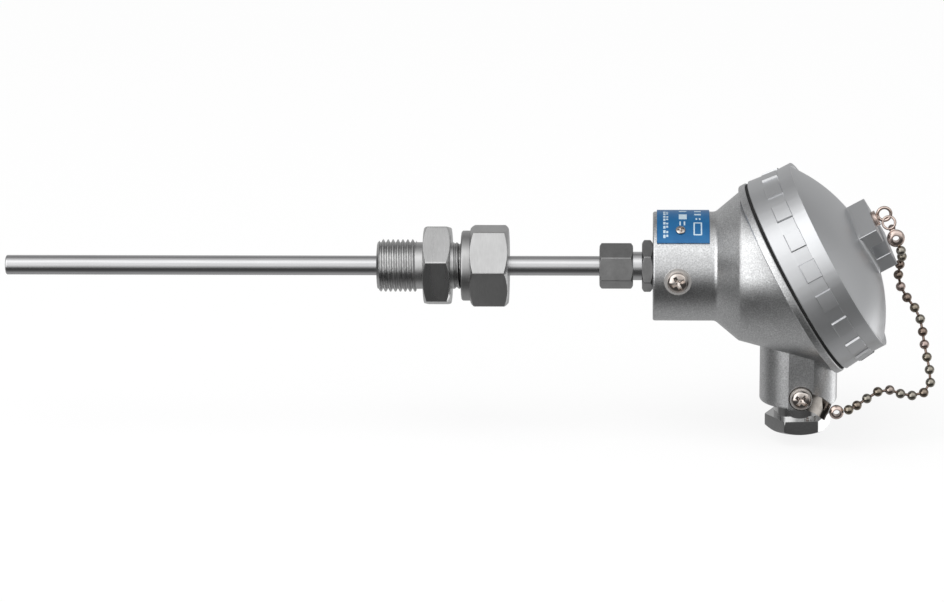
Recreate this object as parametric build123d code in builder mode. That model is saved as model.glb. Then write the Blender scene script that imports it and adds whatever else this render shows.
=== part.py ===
from build123d import *

import math
import os

# Head-mounted temperature probe with a sliding compression fitting. Sizes are in millimetres and degrees.
# The sheath's axis is X and its closed tip points to -X. The cable entry points to -Z, the front is -Y.
# The origin is on the axis, in the middle of the process thread.

# Sheath and what it holds
sheath_d = 6.0
sheath_wall = 1.0
tip_wall = 2.5
tip_edge = 0.4
insertion_length = 128.5
free_sheath = 27.7
core_clearance = 0.03
wire_d = 0.8
wire_spacing = 2.0
junction_length = 1.3

# Process fitting
process_thread_d = 16.0
process_thread_length = 11.8
process_thread_chamfer = 1.0
undercut_d = 14.3
undercut_width = 2.4
fitting_hex_af = 23.0
fitting_hex_width = 8.4
fitting_hex_turn = 40.0
fitting_neck_d = 14.2
fitting_neck_length = 11.0
fitting_neck_gap = 3.1
sheath_clearance = 0.1
thread_clearance = 0.1
ferrule_seat_depth = 4.5
ferrule_slope = 0.4
ferrule_flange_width = 1.2
ferrule_clearance = 0.05

# Nut of the process fitting
nut_skirt_d = 21.4
nut_skirt_width = 2.75
nut_hex_af = 23.0
nut_hex_width = 11.6
nut_hex_turn = 54.0
nut_end_wall = 3.4

# Small compression nut and the connector that it closes
small_nut_af = 12.3
small_nut_width = 10.2
small_nut_turn = 23.7
small_nut_wall = 4.2
stub_d = 8.7
stub_gap = 2.7
stub_length = 4.6
small_seat_depth = 2.0
small_flange_width = 1.4
thin_hex_af = 14.0
thin_hex_width = 3.3
thin_hex_turn = 23.9
spigot_d = 12.0
spigot_length = 14.0
spigot_clearance = 0.1
sheath_end_proud = 0.9

# Head body
head_neck_d = 33.2
head_neck_length = 18.95
head_neck_edge = 1.5
cone_length = 7.3
bowl_start_r = 22.6
neck_cavity_r = 11.0
cavity_floor_inset = 29.2
cavity_floor_r = 20.0
cap_tilt = 29.0
cap_seat_inset = 43.2
cap_seat_drop = 3.15
flange_r = 32.1
flange_thickness = 2.3
flange_edge = 0.4
flange_overhang = 2.6
flange_ledge = 3.5
collar_wall = 2.8
collar_height = 8.0

# Cable boss under the head
boss_inset = 44.7
boss_r = 11.85
boss_drop = 42.2
pad_width = 7.6
pad_face = 12.4
gland_bore_r = 7.5
gland_bore_depth = 10.8
cable_hole_r = 5.5

# Gland
gland_clearance = 0.1
gland_hex_af = 17.8
gland_hex_height = 3.4
gland_hex_turn = 5.0
gland_collar_height = 5.7
gland_shank_length = 4.5
gland_hole_r = 4.5
gland_washer_thickness = 0.8
seal_hole_r = 3.5

# Cap
gasket_thickness = 0.9
gasket_inset = 0.5
cap_thread_clearance = 0.3
rim_height = 14.05
rim_draft = 1.5
band_height = 4.4
lug_height = 9.3
relief_depth = 0.6
lug_count = 19
lug_width = 5.5
lug_turn = 4.75
dome_top = 23.8
dome_r = 11.5
cap_boss_side = 16.5
cap_boss_turn = 36.8
cap_boss_top = 29.5
cap_slot_width = 5.0
cap_slot_depth = 4.9
cap_boss_foot = 1.6
cap_thread_depth = 8.6
cap_thread_relief = 1.2
cap_wall = 3.0
dome_bulge = 1.1
dome_edge = 1.4

# Terminal block inside the head
block_inset = 8.8
block_thickness = 7.0
block_below_seat = 6.0
block_shift = 1.5
notch_width = 8.0
notch_depth = 8.0
wire_hole_r = 2.0
wire_hole_shift = -9.7
bar_width = 6.5
bar_length = 16.0
bar_thickness = 4.0
bar_spread = 7.5
bar_shift = 2.5
post_r = 3.4
post_spread = 13.5
block_screw_length = 13.0
terminal_screw_length = 6.5
terminal_screw_pitch = 9.0

# Label plate
label_start = 1.2
label_length = 15.9
label_low_angle = 40.5
label_high_angle = 139.5
label_thickness = 0.5
label_gap = 0.02
rivet_inset = 8.3
rivet_angle = 55.0
rivet_length = 3.5

# Screws: head radius, head height, shank radius
side_screw = (3.2, 2.2, 1.7)
lug_screw = (3.05, 2.0, 1.5)
block_screw = (2.6, 2.0, 1.5)
terminal_screw = (2.6, 1.8, 1.4)
rivet_screw = (1.5, 0.8, 0.8)
screw_clearance = 0.06
neck_screw_inset = 7.5
neck_washer_r = 4.1
neck_washer_thickness = 0.7
spot_face_depth = 0.4
lug_screw_shift = 0.4
lug_screw_lift = 4.0
lug_screw_reach = 3.8
lug_washer_r = 3.8
lug_washer_thickness = 0.5

# Chain and its ends
bead_d = 3.0
bead_pitch = 4.0
link_d = 0.8
link_gap = 0.05
eye_shift = 5.36
eye_collar_r = 2.4
eye_collar_height = 1.3
eye_loop_r = 2.0
eye_wire_r = 0.5
eye_shank_r = 1.2
eye_shank_length = 4.0
ring_loop_r = 1.5
ring_wire_r = 0.35
ear_r = 1.1
top_bell_r = 2.7
top_bell_thickness = 2.2
bottom_bell_r = 2.2
bell_hole_r = 1.0
lug_plate_thickness = 0.6
lug_arm_width = 5.4
lug_arm_length = 6.0
lug_arm_droop = 22.0
lug_tab_length = 4.3
lug_tab_bend = 50.0

# Places along the axis, worked out from the sizes
thread_end = process_thread_length / 2
shoulder = thread_end + undercut_width
tip = shoulder - insertion_length
fitting_neck_start = shoulder + fitting_hex_width
fitting_neck_end = fitting_neck_start + fitting_neck_length
nut_start = fitting_neck_start + fitting_neck_gap
nut_hex_start = nut_start + nut_skirt_width
nut_end = nut_hex_start + nut_hex_width
small_nut_start = nut_end + free_sheath
small_nut_end = small_nut_start + small_nut_width
thin_hex_start = small_nut_end + stub_gap
head_start = thin_hex_start + thin_hex_width
spigot_end = head_start + spigot_length
sheath_end = spigot_end + sheath_end_proud
sheath_r = sheath_d / 2
sheath_bore_r = sheath_r + sheath_clearance
head_neck_r = head_neck_d / 2
cone_start = head_start + head_neck_length
bowl_start = cone_start + cone_length
boss_x = head_start + boss_inset
bowl_end_r = flange_r - flange_overhang
collar_r = flange_r - flange_ledge
collar_bore_r = collar_r - collar_wall
cap_cavity_r = collar_r - cap_thread_relief
block_r = collar_bore_r - block_inset
lug_screw_drop = boss_drop - lug_screw_lift

# The cap's frame: local x points to the front, local y down and away, z along the cap's axis.
cap_axis = Vector(math.cos(math.radians(cap_tilt)), 0, math.sin(math.radians(cap_tilt)))
cap_seat = Vector(head_start + cap_seat_inset, 0, -cap_seat_drop)
cap_plane = Plane(origin=cap_seat, x_dir=(0, -1, 0), z_dir=cap_axis)
cap_section = Plane(origin=cap_seat, x_dir=(0, -1, 0), z_dir=-cap_plane.y_dir)
cap_turning = Axis(cap_seat, cap_axis)


def outline(plane, *points):
    """A closed face through the points, drawn on the plane."""
    with BuildSketch(plane) as drawn:
        with BuildLine():
            Polyline(*points, close=True)
        make_face()
    return drawn.sketch


def hexagon(plane, across_flats, turn):
    """A hexagon on the plane, with a corner at the angle turn."""
    with BuildSketch(plane) as drawn:
        RegularPolygon(across_flats / 2, 6, major_radius=False, rotation=turn)
    return drawn.sketch


def chamfered_hex(start, width, across_flats, turn, both_ends=True):
    """A hexagon bar along X whose corners are turned down at its ends."""
    corner_r = across_flats / math.sqrt(3)
    face_r = 0.985 * across_flats / 2
    drop = (corner_r - face_r) * math.tan(math.radians(30))
    left_r = face_r if both_ends else corner_r
    left_drop = drop if both_ends else 0.0
    end = start + width
    with BuildPart() as bar:
        extrude(hexagon(Plane.YZ.offset(start), across_flats, turn), amount=width)
        turned = [(start, 0), (start, left_r), (start + left_drop, corner_r)]
        turned += [(end - drop, corner_r), (end, face_r), (end, 0)]
        if not both_ends:
            turned.pop(1)
        revolve(outline(Plane.XZ, *turned), axis=Axis.X, mode=Mode.INTERSECT)
    return bar.part


def pan_screw(plane, size, length, domed=True):
    """A screw whose head stands on the plane: domed with a cross recess, or chamfered with a slot."""
    head_r, head_h, shank_r = size
    section = Plane(origin=plane.origin, x_dir=plane.x_dir, z_dir=-plane.y_dir)
    with BuildPart() as screw:
        with BuildSketch(section):
            with BuildLine():
                Polyline((0, head_h), (0, -length), (shank_r, -length), (shank_r, 0), (head_r, 0))
                Line((head_r, 0), (head_r, 0.35 * head_h))
                if domed:
                    crown = (0.84 * head_r, 0.8 * head_h)
                    ThreePointArc((head_r, 0.35 * head_h), crown, (0.4 * head_r, head_h))
                    Line((0.4 * head_r, head_h), (0, head_h))
                else:
                    Polyline((head_r, 0.35 * head_h), (0.7 * head_r, head_h), (0, head_h))
            make_face()
        revolve(axis=Axis(plane.origin, plane.z_dir))
        with BuildSketch(plane.offset(0.45 * head_h)):
            Rectangle(1.3 * head_r, 0.28 * head_r)
            if domed:
                Rectangle(0.28 * head_r, 1.3 * head_r)
        extrude(amount=head_h, mode=Mode.SUBTRACT)
    return screw.part


def ring(plane, outer_r, inner_r, thickness):
    """A flat ring that stands on the plane."""
    with BuildPart() as made:
        with BuildSketch(plane):
            Circle(outer_r)
            Circle(inner_r, mode=Mode.SUBTRACT)
        extrude(amount=thickness)
    return made.part


def save(name, part):
    """Labels a finished piece and writes it to its file."""
    part.label = name
    export_step(part, f"parts/{name}.step")


os.makedirs("parts", exist_ok=True)

# Sheath: a tube whose tip is welded shut
bore_r = sheath_r - sheath_wall
with BuildPart() as sheath:
    revolve(
        outline(
            Plane.XZ,
            (tip, 0),
            (tip, sheath_r - tip_edge),
            (tip + tip_edge, sheath_r),
            (sheath_end, sheath_r),
            (sheath_end, bore_r),
            (tip + tip_wall, bore_r),
            (tip + tip_wall, 0),
        ),
        axis=Axis.X,
    )
save("sheath", sheath.part)

# Mineral packing with two bores, behind the welded junction
packing_start = tip + tip_wall + junction_length
packing_r = bore_r - core_clearance
wire_r = wire_d / 2
with BuildPart() as insulation:
    with BuildSketch(Plane.YZ.offset(packing_start)):
        Circle(packing_r)
        with Locations((wire_spacing / 2, 0), (-wire_spacing / 2, 0)):
            Circle(wire_r + core_clearance, mode=Mode.SUBTRACT)
    extrude(amount=sheath_end - packing_start)
save("mineral_insulation", insulation.part)

# Hot junction: the bead that joins the two wires to the tip
with BuildPart() as junction:
    with BuildSketch(Plane.YZ.offset(tip + tip_wall)):
        Circle(packing_r)
    extrude(amount=junction_length)
    chamfer(junction.edges().filter_by(GeomType.CIRCLE).sort_by(Axis.X)[-1], 0.4)
save("hot_junction", junction.part)

# Terminal places in the cap's frame
block_bottom = -block_below_seat
block_top = block_bottom + block_thickness
bar_top = block_top + bar_thickness
wire_height = bar_top + wire_r + core_clearance
sensor_screw_y = bar_shift - terminal_screw_pitch / 2
cable_screw_y = bar_shift + terminal_screw_pitch / 2


def wire(side):
    """One conductor: along the sheath, up through the block's hole and onto its terminal. side is 1 or -1."""
    offset = side * wire_spacing / 2
    # the bend lies where the line along the axis meets the line through the block's hole
    below = (0 - cap_plane.from_local_coords(Vector(0, wire_hole_shift, 0)).Z) / cap_axis.Z
    bend = cap_plane.from_local_coords(Vector(offset, wire_hole_shift, below))
    above = cap_plane.from_local_coords(Vector(offset, wire_hole_shift, wire_height))
    beside = bar_spread - terminal_screw[2] - wire_r - screw_clearance
    clamp = cap_plane.from_local_coords(Vector(side * beside, sensor_screw_y, wire_height))
    with BuildPart() as made:
        with BuildLine() as path:
            FilletPolyline((packing_start, -offset, 0), bend, above, clamp, radius=[3.0, 2.0])
        with BuildSketch(Plane(origin=path.line @ 0, z_dir=path.line % 0)):
            Circle(wire_r)
        sweep()
    return made.part


save("positive_wire", wire(1))
save("negative_wire", wire(-1))

# Process fitting: thread, hexagon and the threaded neck with the ferrule's seat
thread_start = -thread_end
seat_r = sheath_bore_r + ferrule_seat_depth * ferrule_slope
thread_r = process_thread_d / 2
undercut_r = undercut_d / 2
fitting_neck_r = fitting_neck_d / 2
with BuildPart() as fitting:
    revolve(
        outline(
            Plane.XZ,
            (thread_start, sheath_bore_r),
            (thread_start, thread_r - process_thread_chamfer),
            (thread_start + process_thread_chamfer, thread_r),
            (thread_end, thread_r),
            (thread_end, undercut_r),
            (fitting_neck_start, undercut_r),
            (fitting_neck_start, fitting_neck_r),
            (fitting_neck_end - 0.5, fitting_neck_r),
            (fitting_neck_end, fitting_neck_r - 0.5),
            (fitting_neck_end, seat_r),
            (fitting_neck_end - ferrule_seat_depth, sheath_bore_r),
        ),
        axis=Axis.X,
    )
    add(chamfered_hex(shoulder, fitting_hex_width, fitting_hex_af, fitting_hex_turn))
    with BuildSketch(Plane.YZ.offset(shoulder)):
        Circle(sheath_bore_r)
    extrude(amount=fitting_hex_width, mode=Mode.SUBTRACT)
save("fitting_body", fitting.part)

# Nut of the process fitting
nut_cavity_end = nut_end - nut_end_wall
nut_cavity_r = fitting_neck_r + thread_clearance
with BuildPart() as nut:
    with BuildSketch(Plane.YZ.offset(nut_start)):
        Circle(nut_skirt_d / 2)
    extrude(amount=nut_skirt_width)
    chamfer(nut.edges().sort_by(Axis.X)[0], 0.4)
    add(chamfered_hex(nut_hex_start, nut_hex_width, nut_hex_af, nut_hex_turn))
    with BuildSketch(Plane.YZ.offset(nut_start)):
        Circle(nut_cavity_r)
    extrude(amount=nut_cavity_end - nut_start, mode=Mode.SUBTRACT)
    with BuildSketch(Plane.YZ.offset(nut_cavity_end)):
        Circle(sheath_bore_r)
    extrude(amount=nut_end_wall, mode=Mode.SUBTRACT)
save("fitting_nut", nut.part)

# Ferrules of the process fitting: the front one seats in the neck, the back one sits in the nut
flange_start = fitting_neck_end + ferrule_clearance
flange_end = flange_start + ferrule_flange_width
ferrule_bore_r = sheath_r + ferrule_clearance
ferrule_tip = fitting_neck_end - ferrule_seat_depth + 1.0
ferrule_tip_r = sheath_bore_r + ferrule_slope - ferrule_clearance
ferrule_flange_r = seat_r + 1.1
with BuildPart() as front_ferrule:
    revolve(
        outline(
            Plane.XZ,
            (ferrule_tip, ferrule_bore_r),
            (ferrule_tip, ferrule_tip_r),
            (fitting_neck_end, seat_r - ferrule_clearance),
            (flange_start, seat_r - ferrule_clearance),
            (flange_start, ferrule_flange_r),
            (flange_end, ferrule_flange_r),
            (flange_end, ferrule_bore_r),
        ),
        axis=Axis.X,
    )
save("front_ferrule", front_ferrule.part)

with BuildPart() as back_ferrule:
    revolve(
        outline(
            Plane.XZ,
            (flange_end, ferrule_bore_r),
            (flange_end, ferrule_flange_r),
            (nut_cavity_end - 0.5, ferrule_flange_r),
            (nut_cavity_end, ferrule_flange_r - 0.5),
            (nut_cavity_end, ferrule_bore_r),
        ),
        axis=Axis.X,
    )
save("back_ferrule", back_ferrule.part)

# Small compression nut
stub_r = stub_d / 2
small_cavity_start = small_nut_start + small_nut_wall
with BuildPart() as small_nut:
    add(chamfered_hex(small_nut_start, small_nut_width, small_nut_af, small_nut_turn))
    with BuildSketch(Plane.YZ.offset(small_nut_start)):
        Circle(sheath_bore_r)
    extrude(amount=small_nut_wall, mode=Mode.SUBTRACT)
    with BuildSketch(Plane.YZ.offset(small_cavity_start)):
        Circle(stub_r + thread_clearance)
    extrude(amount=small_nut_width - small_nut_wall, mode=Mode.SUBTRACT)
save("small_nut", small_nut.part)

# Connector: stub for the small nut, thin hexagon and the spigot in the head's neck
stub_start = small_nut_end - stub_length
small_seat_r = sheath_bore_r + small_seat_depth * ferrule_slope
spigot_r = spigot_d / 2
with BuildPart() as connector:
    revolve(
        outline(
            Plane.XZ,
            (stub_start, small_seat_r),
            (stub_start, stub_r),
            (thin_hex_start, stub_r),
            (thin_hex_start, spigot_r),
            (spigot_end, spigot_r),
            (spigot_end, sheath_bore_r),
            (stub_start + small_seat_depth, sheath_bore_r),
        ),
        axis=Axis.X,
    )
    add(chamfered_hex(thin_hex_start, thin_hex_width, thin_hex_af, thin_hex_turn))
    with BuildSketch(Plane.YZ.offset(thin_hex_start)):
        Circle(sheath_bore_r)
    extrude(amount=thin_hex_width, mode=Mode.SUBTRACT)
save("head_connector", connector.part)

# Ferrule of the small nut
small_flange_end = stub_start - ferrule_clearance
small_ferrule_tip = stub_start + small_seat_depth - 0.5
with BuildPart() as small_ferrule:
    revolve(
        outline(
            Plane.XZ,
            (small_cavity_start, ferrule_bore_r),
            (small_cavity_start, stub_r - 0.2),
            (small_flange_end, stub_r - 0.2),
            (small_flange_end, small_seat_r - ferrule_clearance),
            (stub_start, small_seat_r - ferrule_clearance),
            (small_ferrule_tip, sheath_bore_r + 0.5 * ferrule_slope - ferrule_clearance),
            (small_ferrule_tip, ferrule_bore_r),
        ),
        axis=Axis.X,
    )
save("small_ferrule", small_ferrule.part)

# Head body: the outside first, as one solid
with BuildPart() as head_outside:
    revolve(
        outline(
            Plane.XZ,
            (head_start, 0),
            (head_start, head_neck_r),
            (cone_start, head_neck_r),
            (bowl_start, bowl_start_r),
            (bowl_start, 0),
        ),
        axis=Axis.X,
    )
    fillet(head_outside.edges().filter_by(GeomType.CIRCLE).sort_by(Axis.X)[0], head_neck_edge)
    with BuildSketch(Plane(origin=(bowl_start, 0, 0), x_dir=(0, -1, 0), z_dir=(1, 0, 0))):
        Circle(bowl_start_r)
    with BuildSketch(cap_plane.offset(-flange_thickness)):
        Circle(bowl_end_r)
    loft()
    with BuildSketch(cap_plane.offset(-flange_thickness)):
        Circle(flange_r)
    extrude(amount=flange_thickness)
    chamfer(head_outside.edges().filter_by(GeomType.CIRCLE).group_by(SortBy.LENGTH)[-1], flange_edge)

# The cable boss reaches up into the bowl, and stays below the cap's seat
with BuildPart() as cable_boss:
    with BuildSketch(Plane.XY.offset(-boss_drop)):
        with Locations((boss_x, 0)):
            Circle(boss_r)
    extrude(amount=boss_drop - bowl_start_r / 2)
    with BuildSketch(Plane.XY.offset(-boss_drop)):
        with Locations((boss_x + lug_screw_shift, -pad_face / 2)):
            Rectangle(pad_width, pad_face)
    extrude(amount=boss_drop - cavity_floor_r)
    split(bisect_by=cap_plane.offset(-flange_thickness / 2), keep=Keep.BOTTOM)

# Two posts inside carry the terminal block
with BuildPart() as block_posts:
    with BuildSketch(cap_plane.offset(block_bottom)):
        with Locations((post_spread, block_shift), (-post_spread, block_shift)):
            Circle(post_r)
    extrude(amount=-bowl_end_r)
    add(head_outside.part, mode=Mode.INTERSECT)

neck_screw_x = head_start + neck_screw_inset
lug_screw_x = boss_x + lug_screw_shift
with BuildPart() as head_body:
    add(head_outside.part)
    add(cable_boss.part)
    # threaded collar for the cap
    with BuildSketch(cap_plane):
        Circle(collar_r)
    extrude(amount=collar_height)
    # cavity
    revolve(
        outline(
            Plane.XZ,
            (spigot_end, 0),
            (spigot_end, neck_cavity_r),
            (cone_start, neck_cavity_r + 2.0),
            (bowl_start + 0.5, cavity_floor_r - 1.0),
            (head_start + cavity_floor_inset, cavity_floor_r),
            (head_start + cavity_floor_inset, 0),
        ),
        axis=Axis.X,
        mode=Mode.SUBTRACT,
    )
    with BuildSketch(
        Plane(origin=(head_start + cavity_floor_inset, 0, 0), x_dir=(0, -1, 0), z_dir=(1, 0, 0))
    ):
        Circle(cavity_floor_r)
    with BuildSketch(cap_plane):
        Circle(collar_bore_r)
    loft(mode=Mode.SUBTRACT)
    with BuildSketch(cap_plane):
        Circle(collar_bore_r)
    extrude(amount=collar_height, mode=Mode.SUBTRACT)
    # bore for the connector
    with BuildSketch(Plane.YZ.offset(head_start)):
        Circle(spigot_r + spigot_clearance)
    extrude(amount=spigot_length, mode=Mode.SUBTRACT)
    # gland bore, and the cable's way up into the cavity
    with BuildSketch(Plane.XY.offset(-boss_drop)):
        with Locations((boss_x, 0)):
            Circle(gland_bore_r)
    extrude(amount=gland_bore_depth, mode=Mode.SUBTRACT)
    with BuildSketch(Plane.XY.offset(-boss_drop)):
        with Locations((boss_x, 0)):
            Circle(cable_hole_r)
    extrude(amount=boss_drop - cavity_floor_r, mode=Mode.SUBTRACT)
    add(block_posts.part)
    # holes for the block's screws
    with BuildSketch(cap_plane.offset(block_bottom)):
        with Locations((post_spread, block_shift), (-post_spread, block_shift)):
            Circle(block_screw[2] + screw_clearance)
    extrude(amount=-(block_screw_length - block_thickness + 0.5), mode=Mode.SUBTRACT)
    # side screw's spot face and hole
    neck_side = Plane(origin=(neck_screw_x, -head_neck_r, 0), x_dir=(1, 0, 0), z_dir=(0, -1, 0))
    with BuildSketch(neck_side.offset(-spot_face_depth)):
        Circle(neck_washer_r + 0.4)
    extrude(amount=2, mode=Mode.SUBTRACT)
    with BuildSketch(neck_side):
        Circle(side_screw[2] + screw_clearance)
    extrude(amount=-(head_neck_r - spigot_r), mode=Mode.SUBTRACT)
    # hole for the lug's screw in the pad
    pad_side = Plane(origin=(lug_screw_x, -pad_face, -lug_screw_drop), x_dir=(1, 0, 0), z_dir=(0, -1, 0))
    with BuildSketch(pad_side):
        Circle(lug_screw[2] + screw_clearance)
    extrude(amount=-(lug_screw_reach + 0.4), mode=Mode.SUBTRACT)
    # holes for the label's rivets
    for angle in (rivet_angle, 180 - rivet_angle):
        outward = Vector(0, -math.cos(math.radians(angle)), math.sin(math.radians(angle)))
        foot = Vector(head_start + rivet_inset, 0, 0) + outward * (head_neck_r + 1)
        with BuildSketch(Plane(origin=foot, x_dir=(1, 0, 0), z_dir=outward)):
            Circle(rivet_screw[2] + screw_clearance)
        extrude(amount=-(rivet_length + 0.7), mode=Mode.SUBTRACT)
save("head_body", head_body.part)

# Side screw of the neck and its washer
washer_seat = neck_side.offset(-spot_face_depth)
save("neck_washer", ring(washer_seat, neck_washer_r, side_screw[2] + 0.2, neck_washer_thickness))
neck_screw_length = head_neck_r - spot_face_depth + neck_washer_thickness - spigot_r - 0.05
save("neck_screw", pan_screw(washer_seat.offset(neck_washer_thickness), side_screw, neck_screw_length))

# Label plate, bent round the top of the neck
with BuildPart() as label_plate:
    with BuildSketch(Plane.YZ.offset(head_start + label_start)):
        Circle(head_neck_r + label_gap + label_thickness)
        Circle(head_neck_r + label_gap, mode=Mode.SUBTRACT)
        reach = 1.5 * head_neck_d
        low = (-reach * math.cos(math.radians(label_low_angle)), reach * math.sin(math.radians(label_low_angle)))
        high = (-reach * math.cos(math.radians(label_high_angle)), low[1])
        with BuildLine():
            Polyline((0, 0), low, high, close=True)
        make_face(mode=Mode.INTERSECT)
    extrude(amount=label_length)
    for angle in (rivet_angle, 180 - rivet_angle):
        outward = Vector(0, -math.cos(math.radians(angle)), math.sin(math.radians(angle)))
        foot = Vector(head_start + rivet_inset, 0, 0) + outward * (head_neck_r + 1)
        with BuildSketch(Plane(origin=foot, x_dir=(1, 0, 0), z_dir=outward)):
            Circle(rivet_screw[2] + screw_clearance)
        extrude(amount=-2, mode=Mode.SUBTRACT)
save("label_plate", label_plate.part)

with BuildPart() as label_rivets:
    for angle in (rivet_angle, 180 - rivet_angle):
        outward = Vector(0, -math.cos(math.radians(angle)), math.sin(math.radians(angle)))
        foot = Vector(head_start + rivet_inset, 0, 0) + outward * (head_neck_r + label_gap + label_thickness)
        add(pan_screw(Plane(origin=foot, x_dir=(1, 0, 0), z_dir=outward), rivet_screw, rivet_length, domed=False))
save("label_rivets", label_rivets.part)

# Gasket between the flange and the cap
gasket_bore_r = collar_r + 0.2
save("cap_gasket", ring(cap_plane, flange_r - gasket_inset, gasket_bore_r, gasket_thickness))

# Cap: rim, dome and cavity turned about its own axis
rim_foot = gasket_thickness
rim_top = rim_foot + rim_height
band_foot = rim_top - band_height
lug_foot = rim_top - lug_height
cap_thread_r = collar_r + cap_thread_clearance


def rim_r(height):
    """Radius of the rim's ground surface at a height over the seat."""
    return flange_r - rim_draft * (height - rim_foot) / rim_height


with BuildPart() as rim_lugs:
    raised = (rim_r(lug_foot) + relief_depth, rim_r(rim_top) + relief_depth)
    inner = cap_thread_r + 0.5
    revolve(
        outline(
            cap_section,
            (inner, lug_foot),
            (raised[0], lug_foot),
            (rim_r(band_foot) + relief_depth, band_foot + 0.5),
            (inner, band_foot + 0.5),
        ),
        axis=cap_turning,
    )
    with BuildSketch(cap_plane.offset(lug_foot)):
        with PolarLocations(flange_r, lug_count, start_angle=lug_turn):
            Rectangle(2 * (flange_r - inner), lug_width)
    extrude(amount=lug_height, mode=Mode.INTERSECT)

with BuildPart() as head_cap:
    with BuildSketch(cap_section):
        with BuildLine():
            Polyline(
                (cap_thread_r, rim_foot),
                (rim_r(rim_foot), rim_foot),
                (rim_r(band_foot), band_foot),
                (rim_r(band_foot) + relief_depth, band_foot + 0.15),
                (raised[1], rim_top - 0.3),
                (raised[1] - 0.3, rim_top),
                (raised[1] - dome_edge + 0.4, rim_top),
                (raised[1] - dome_edge, rim_top - 0.4),
            )
            SagittaArc(
                (raised[1] - dome_edge, rim_top - 0.4),
                (dome_r, dome_top - 0.4),
                -dome_bulge,
            )
            Polyline(
                (dome_r, dome_top - 0.4),
                (0, dome_top),
                (0, dome_top - cap_wall),
                (dome_r - 2.0, dome_top - cap_wall),
            )
            SagittaArc(
                (dome_r - 2.0, dome_top - cap_wall),
                (cap_cavity_r, rim_top - cap_wall + 0.4),
                dome_bulge,
            )
            Polyline(
                (cap_cavity_r, rim_top - cap_wall + 0.4),
                (cap_cavity_r, rim_foot + cap_thread_depth + 1.4),
                (cap_thread_r, rim_foot + cap_thread_depth),
                (cap_thread_r, rim_foot),
            )
        make_face()
    revolve(axis=cap_turning)
    add(rim_lugs.part)
    # square boss with its slot
    with BuildSketch(cap_plane.offset(dome_top - cap_wall + 0.5)):
        Rectangle(cap_boss_side, cap_boss_side, rotation=cap_boss_turn)
    extrude(amount=cap_boss_top - dome_top + cap_wall - 0.5)
    with BuildSketch(cap_plane.offset(dome_top - cap_boss_foot)):
        Rectangle(cap_boss_side + 2 * cap_boss_foot, cap_boss_side + 2 * cap_boss_foot, rotation=cap_boss_turn)
    extrude(amount=2 * cap_boss_foot, taper=45)
    with BuildSketch(cap_plane.offset(cap_boss_top - cap_slot_depth)):
        Rectangle(2 * cap_boss_side, cap_slot_width, rotation=cap_boss_turn)
    extrude(amount=2 * cap_slot_depth, mode=Mode.SUBTRACT)
    # hole for the chain's eye in one half of the boss
    eye_turn = math.radians(cap_boss_turn - 90)
    eye_x = eye_shift * math.cos(eye_turn)
    eye_y = eye_shift * math.sin(eye_turn)
    with BuildSketch(cap_plane.offset(cap_boss_top)):
        with Locations((eye_x, eye_y)):
            Circle(eye_shank_r + screw_clearance)
    extrude(amount=-(eye_shank_length + 0.4), mode=Mode.SUBTRACT)
save("head_cap", head_cap.part)

# Screw eye on the cap, with its collar
eye_height = cap_boss_top + eye_collar_height + eye_loop_r + 0.3
eye_foot = Plane(
    origin=cap_plane.from_local_coords(Vector(eye_x, eye_y, cap_boss_top)),
    x_dir=cap_plane.x_dir,
    z_dir=cap_axis,
)
with BuildPart() as cap_eye:
    with BuildSketch(eye_foot):
        Circle(eye_collar_r)
    extrude(amount=eye_collar_height)
    with BuildSketch(eye_foot.offset(eye_collar_height)):
        Circle(0.8)
    extrude(amount=0.5)
    with BuildSketch(eye_foot):
        Circle(eye_shank_r)
    extrude(amount=-eye_shank_length)
    eye_centre = cap_plane.from_local_coords(Vector(eye_x, eye_y, eye_height))
    eye_side = Plane(
        origin=cap_plane.from_local_coords(Vector(eye_x, eye_y, eye_height + eye_loop_r)),
        x_dir=cap_axis,
        z_dir=cap_plane.y_dir,
    )
    with BuildSketch(eye_side):
        Circle(eye_wire_r)
    revolve(axis=Axis(eye_centre, cap_plane.x_dir))
save("cap_eye", cap_eye.part)

# Small ring that links the eye and the chain's upper end
ring_y = eye_y + eye_loop_r + 0.6
ring_centre = cap_plane.from_local_coords(Vector(eye_x, ring_y, eye_height))
ring_side = Plane(
    origin=cap_plane.from_local_coords(Vector(eye_x, ring_y + ring_loop_r, eye_height)),
    x_dir=cap_plane.y_dir,
    z_dir=cap_plane.x_dir,
)
with BuildPart() as chain_ring:
    with BuildSketch(ring_side):
        Circle(ring_wire_r)
    revolve(axis=Axis(ring_centre, cap_axis))
save("chain_ring", chain_ring.part)


def bell(plane, radius, thickness, reach):
    """A pressed shell that grips the chain's last bead, with an ear reach away along the plane's -x."""
    with BuildPart() as made:
        with BuildSketch(plane.offset(-thickness / 2)):
            Circle(radius)
        extrude(amount=thickness)
        chamfer(made.edges().filter_by(GeomType.CIRCLE), 0.35 * thickness)
        with BuildSketch(plane.offset(-thickness / 2)):
            Circle(bell_hole_r)
        extrude(amount=thickness, mode=Mode.SUBTRACT)
        with BuildSketch(plane.offset(-0.25)):
            with Locations((-reach, 0)):
                Circle(ear_r)
            with Locations((-(reach + radius - 0.6) / 2, 0)):
                Rectangle(reach - radius + 0.6, 1.4)
            with Locations((-reach, 0)):
                Circle(ring_wire_r + 0.15, mode=Mode.SUBTRACT)
        extrude(amount=0.5)
    return made.part


# Upper end of the chain: a shell with an ear on the small ring
top_reach = 3.45
top_ear = Vector(eye_x, ring_y + ring_loop_r, eye_height)
top_bell_centre = cap_plane.from_local_coords(top_ear + Vector(0, top_reach, -0.4))
top_bell_plane = Plane(
    origin=top_bell_centre,
    x_dir=top_bell_centre - cap_plane.from_local_coords(top_ear),
    z_dir=cap_plane.x_dir,
)
save("chain_top_shell", bell(top_bell_plane, top_bell_r, top_bell_thickness, top_reach))

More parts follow.
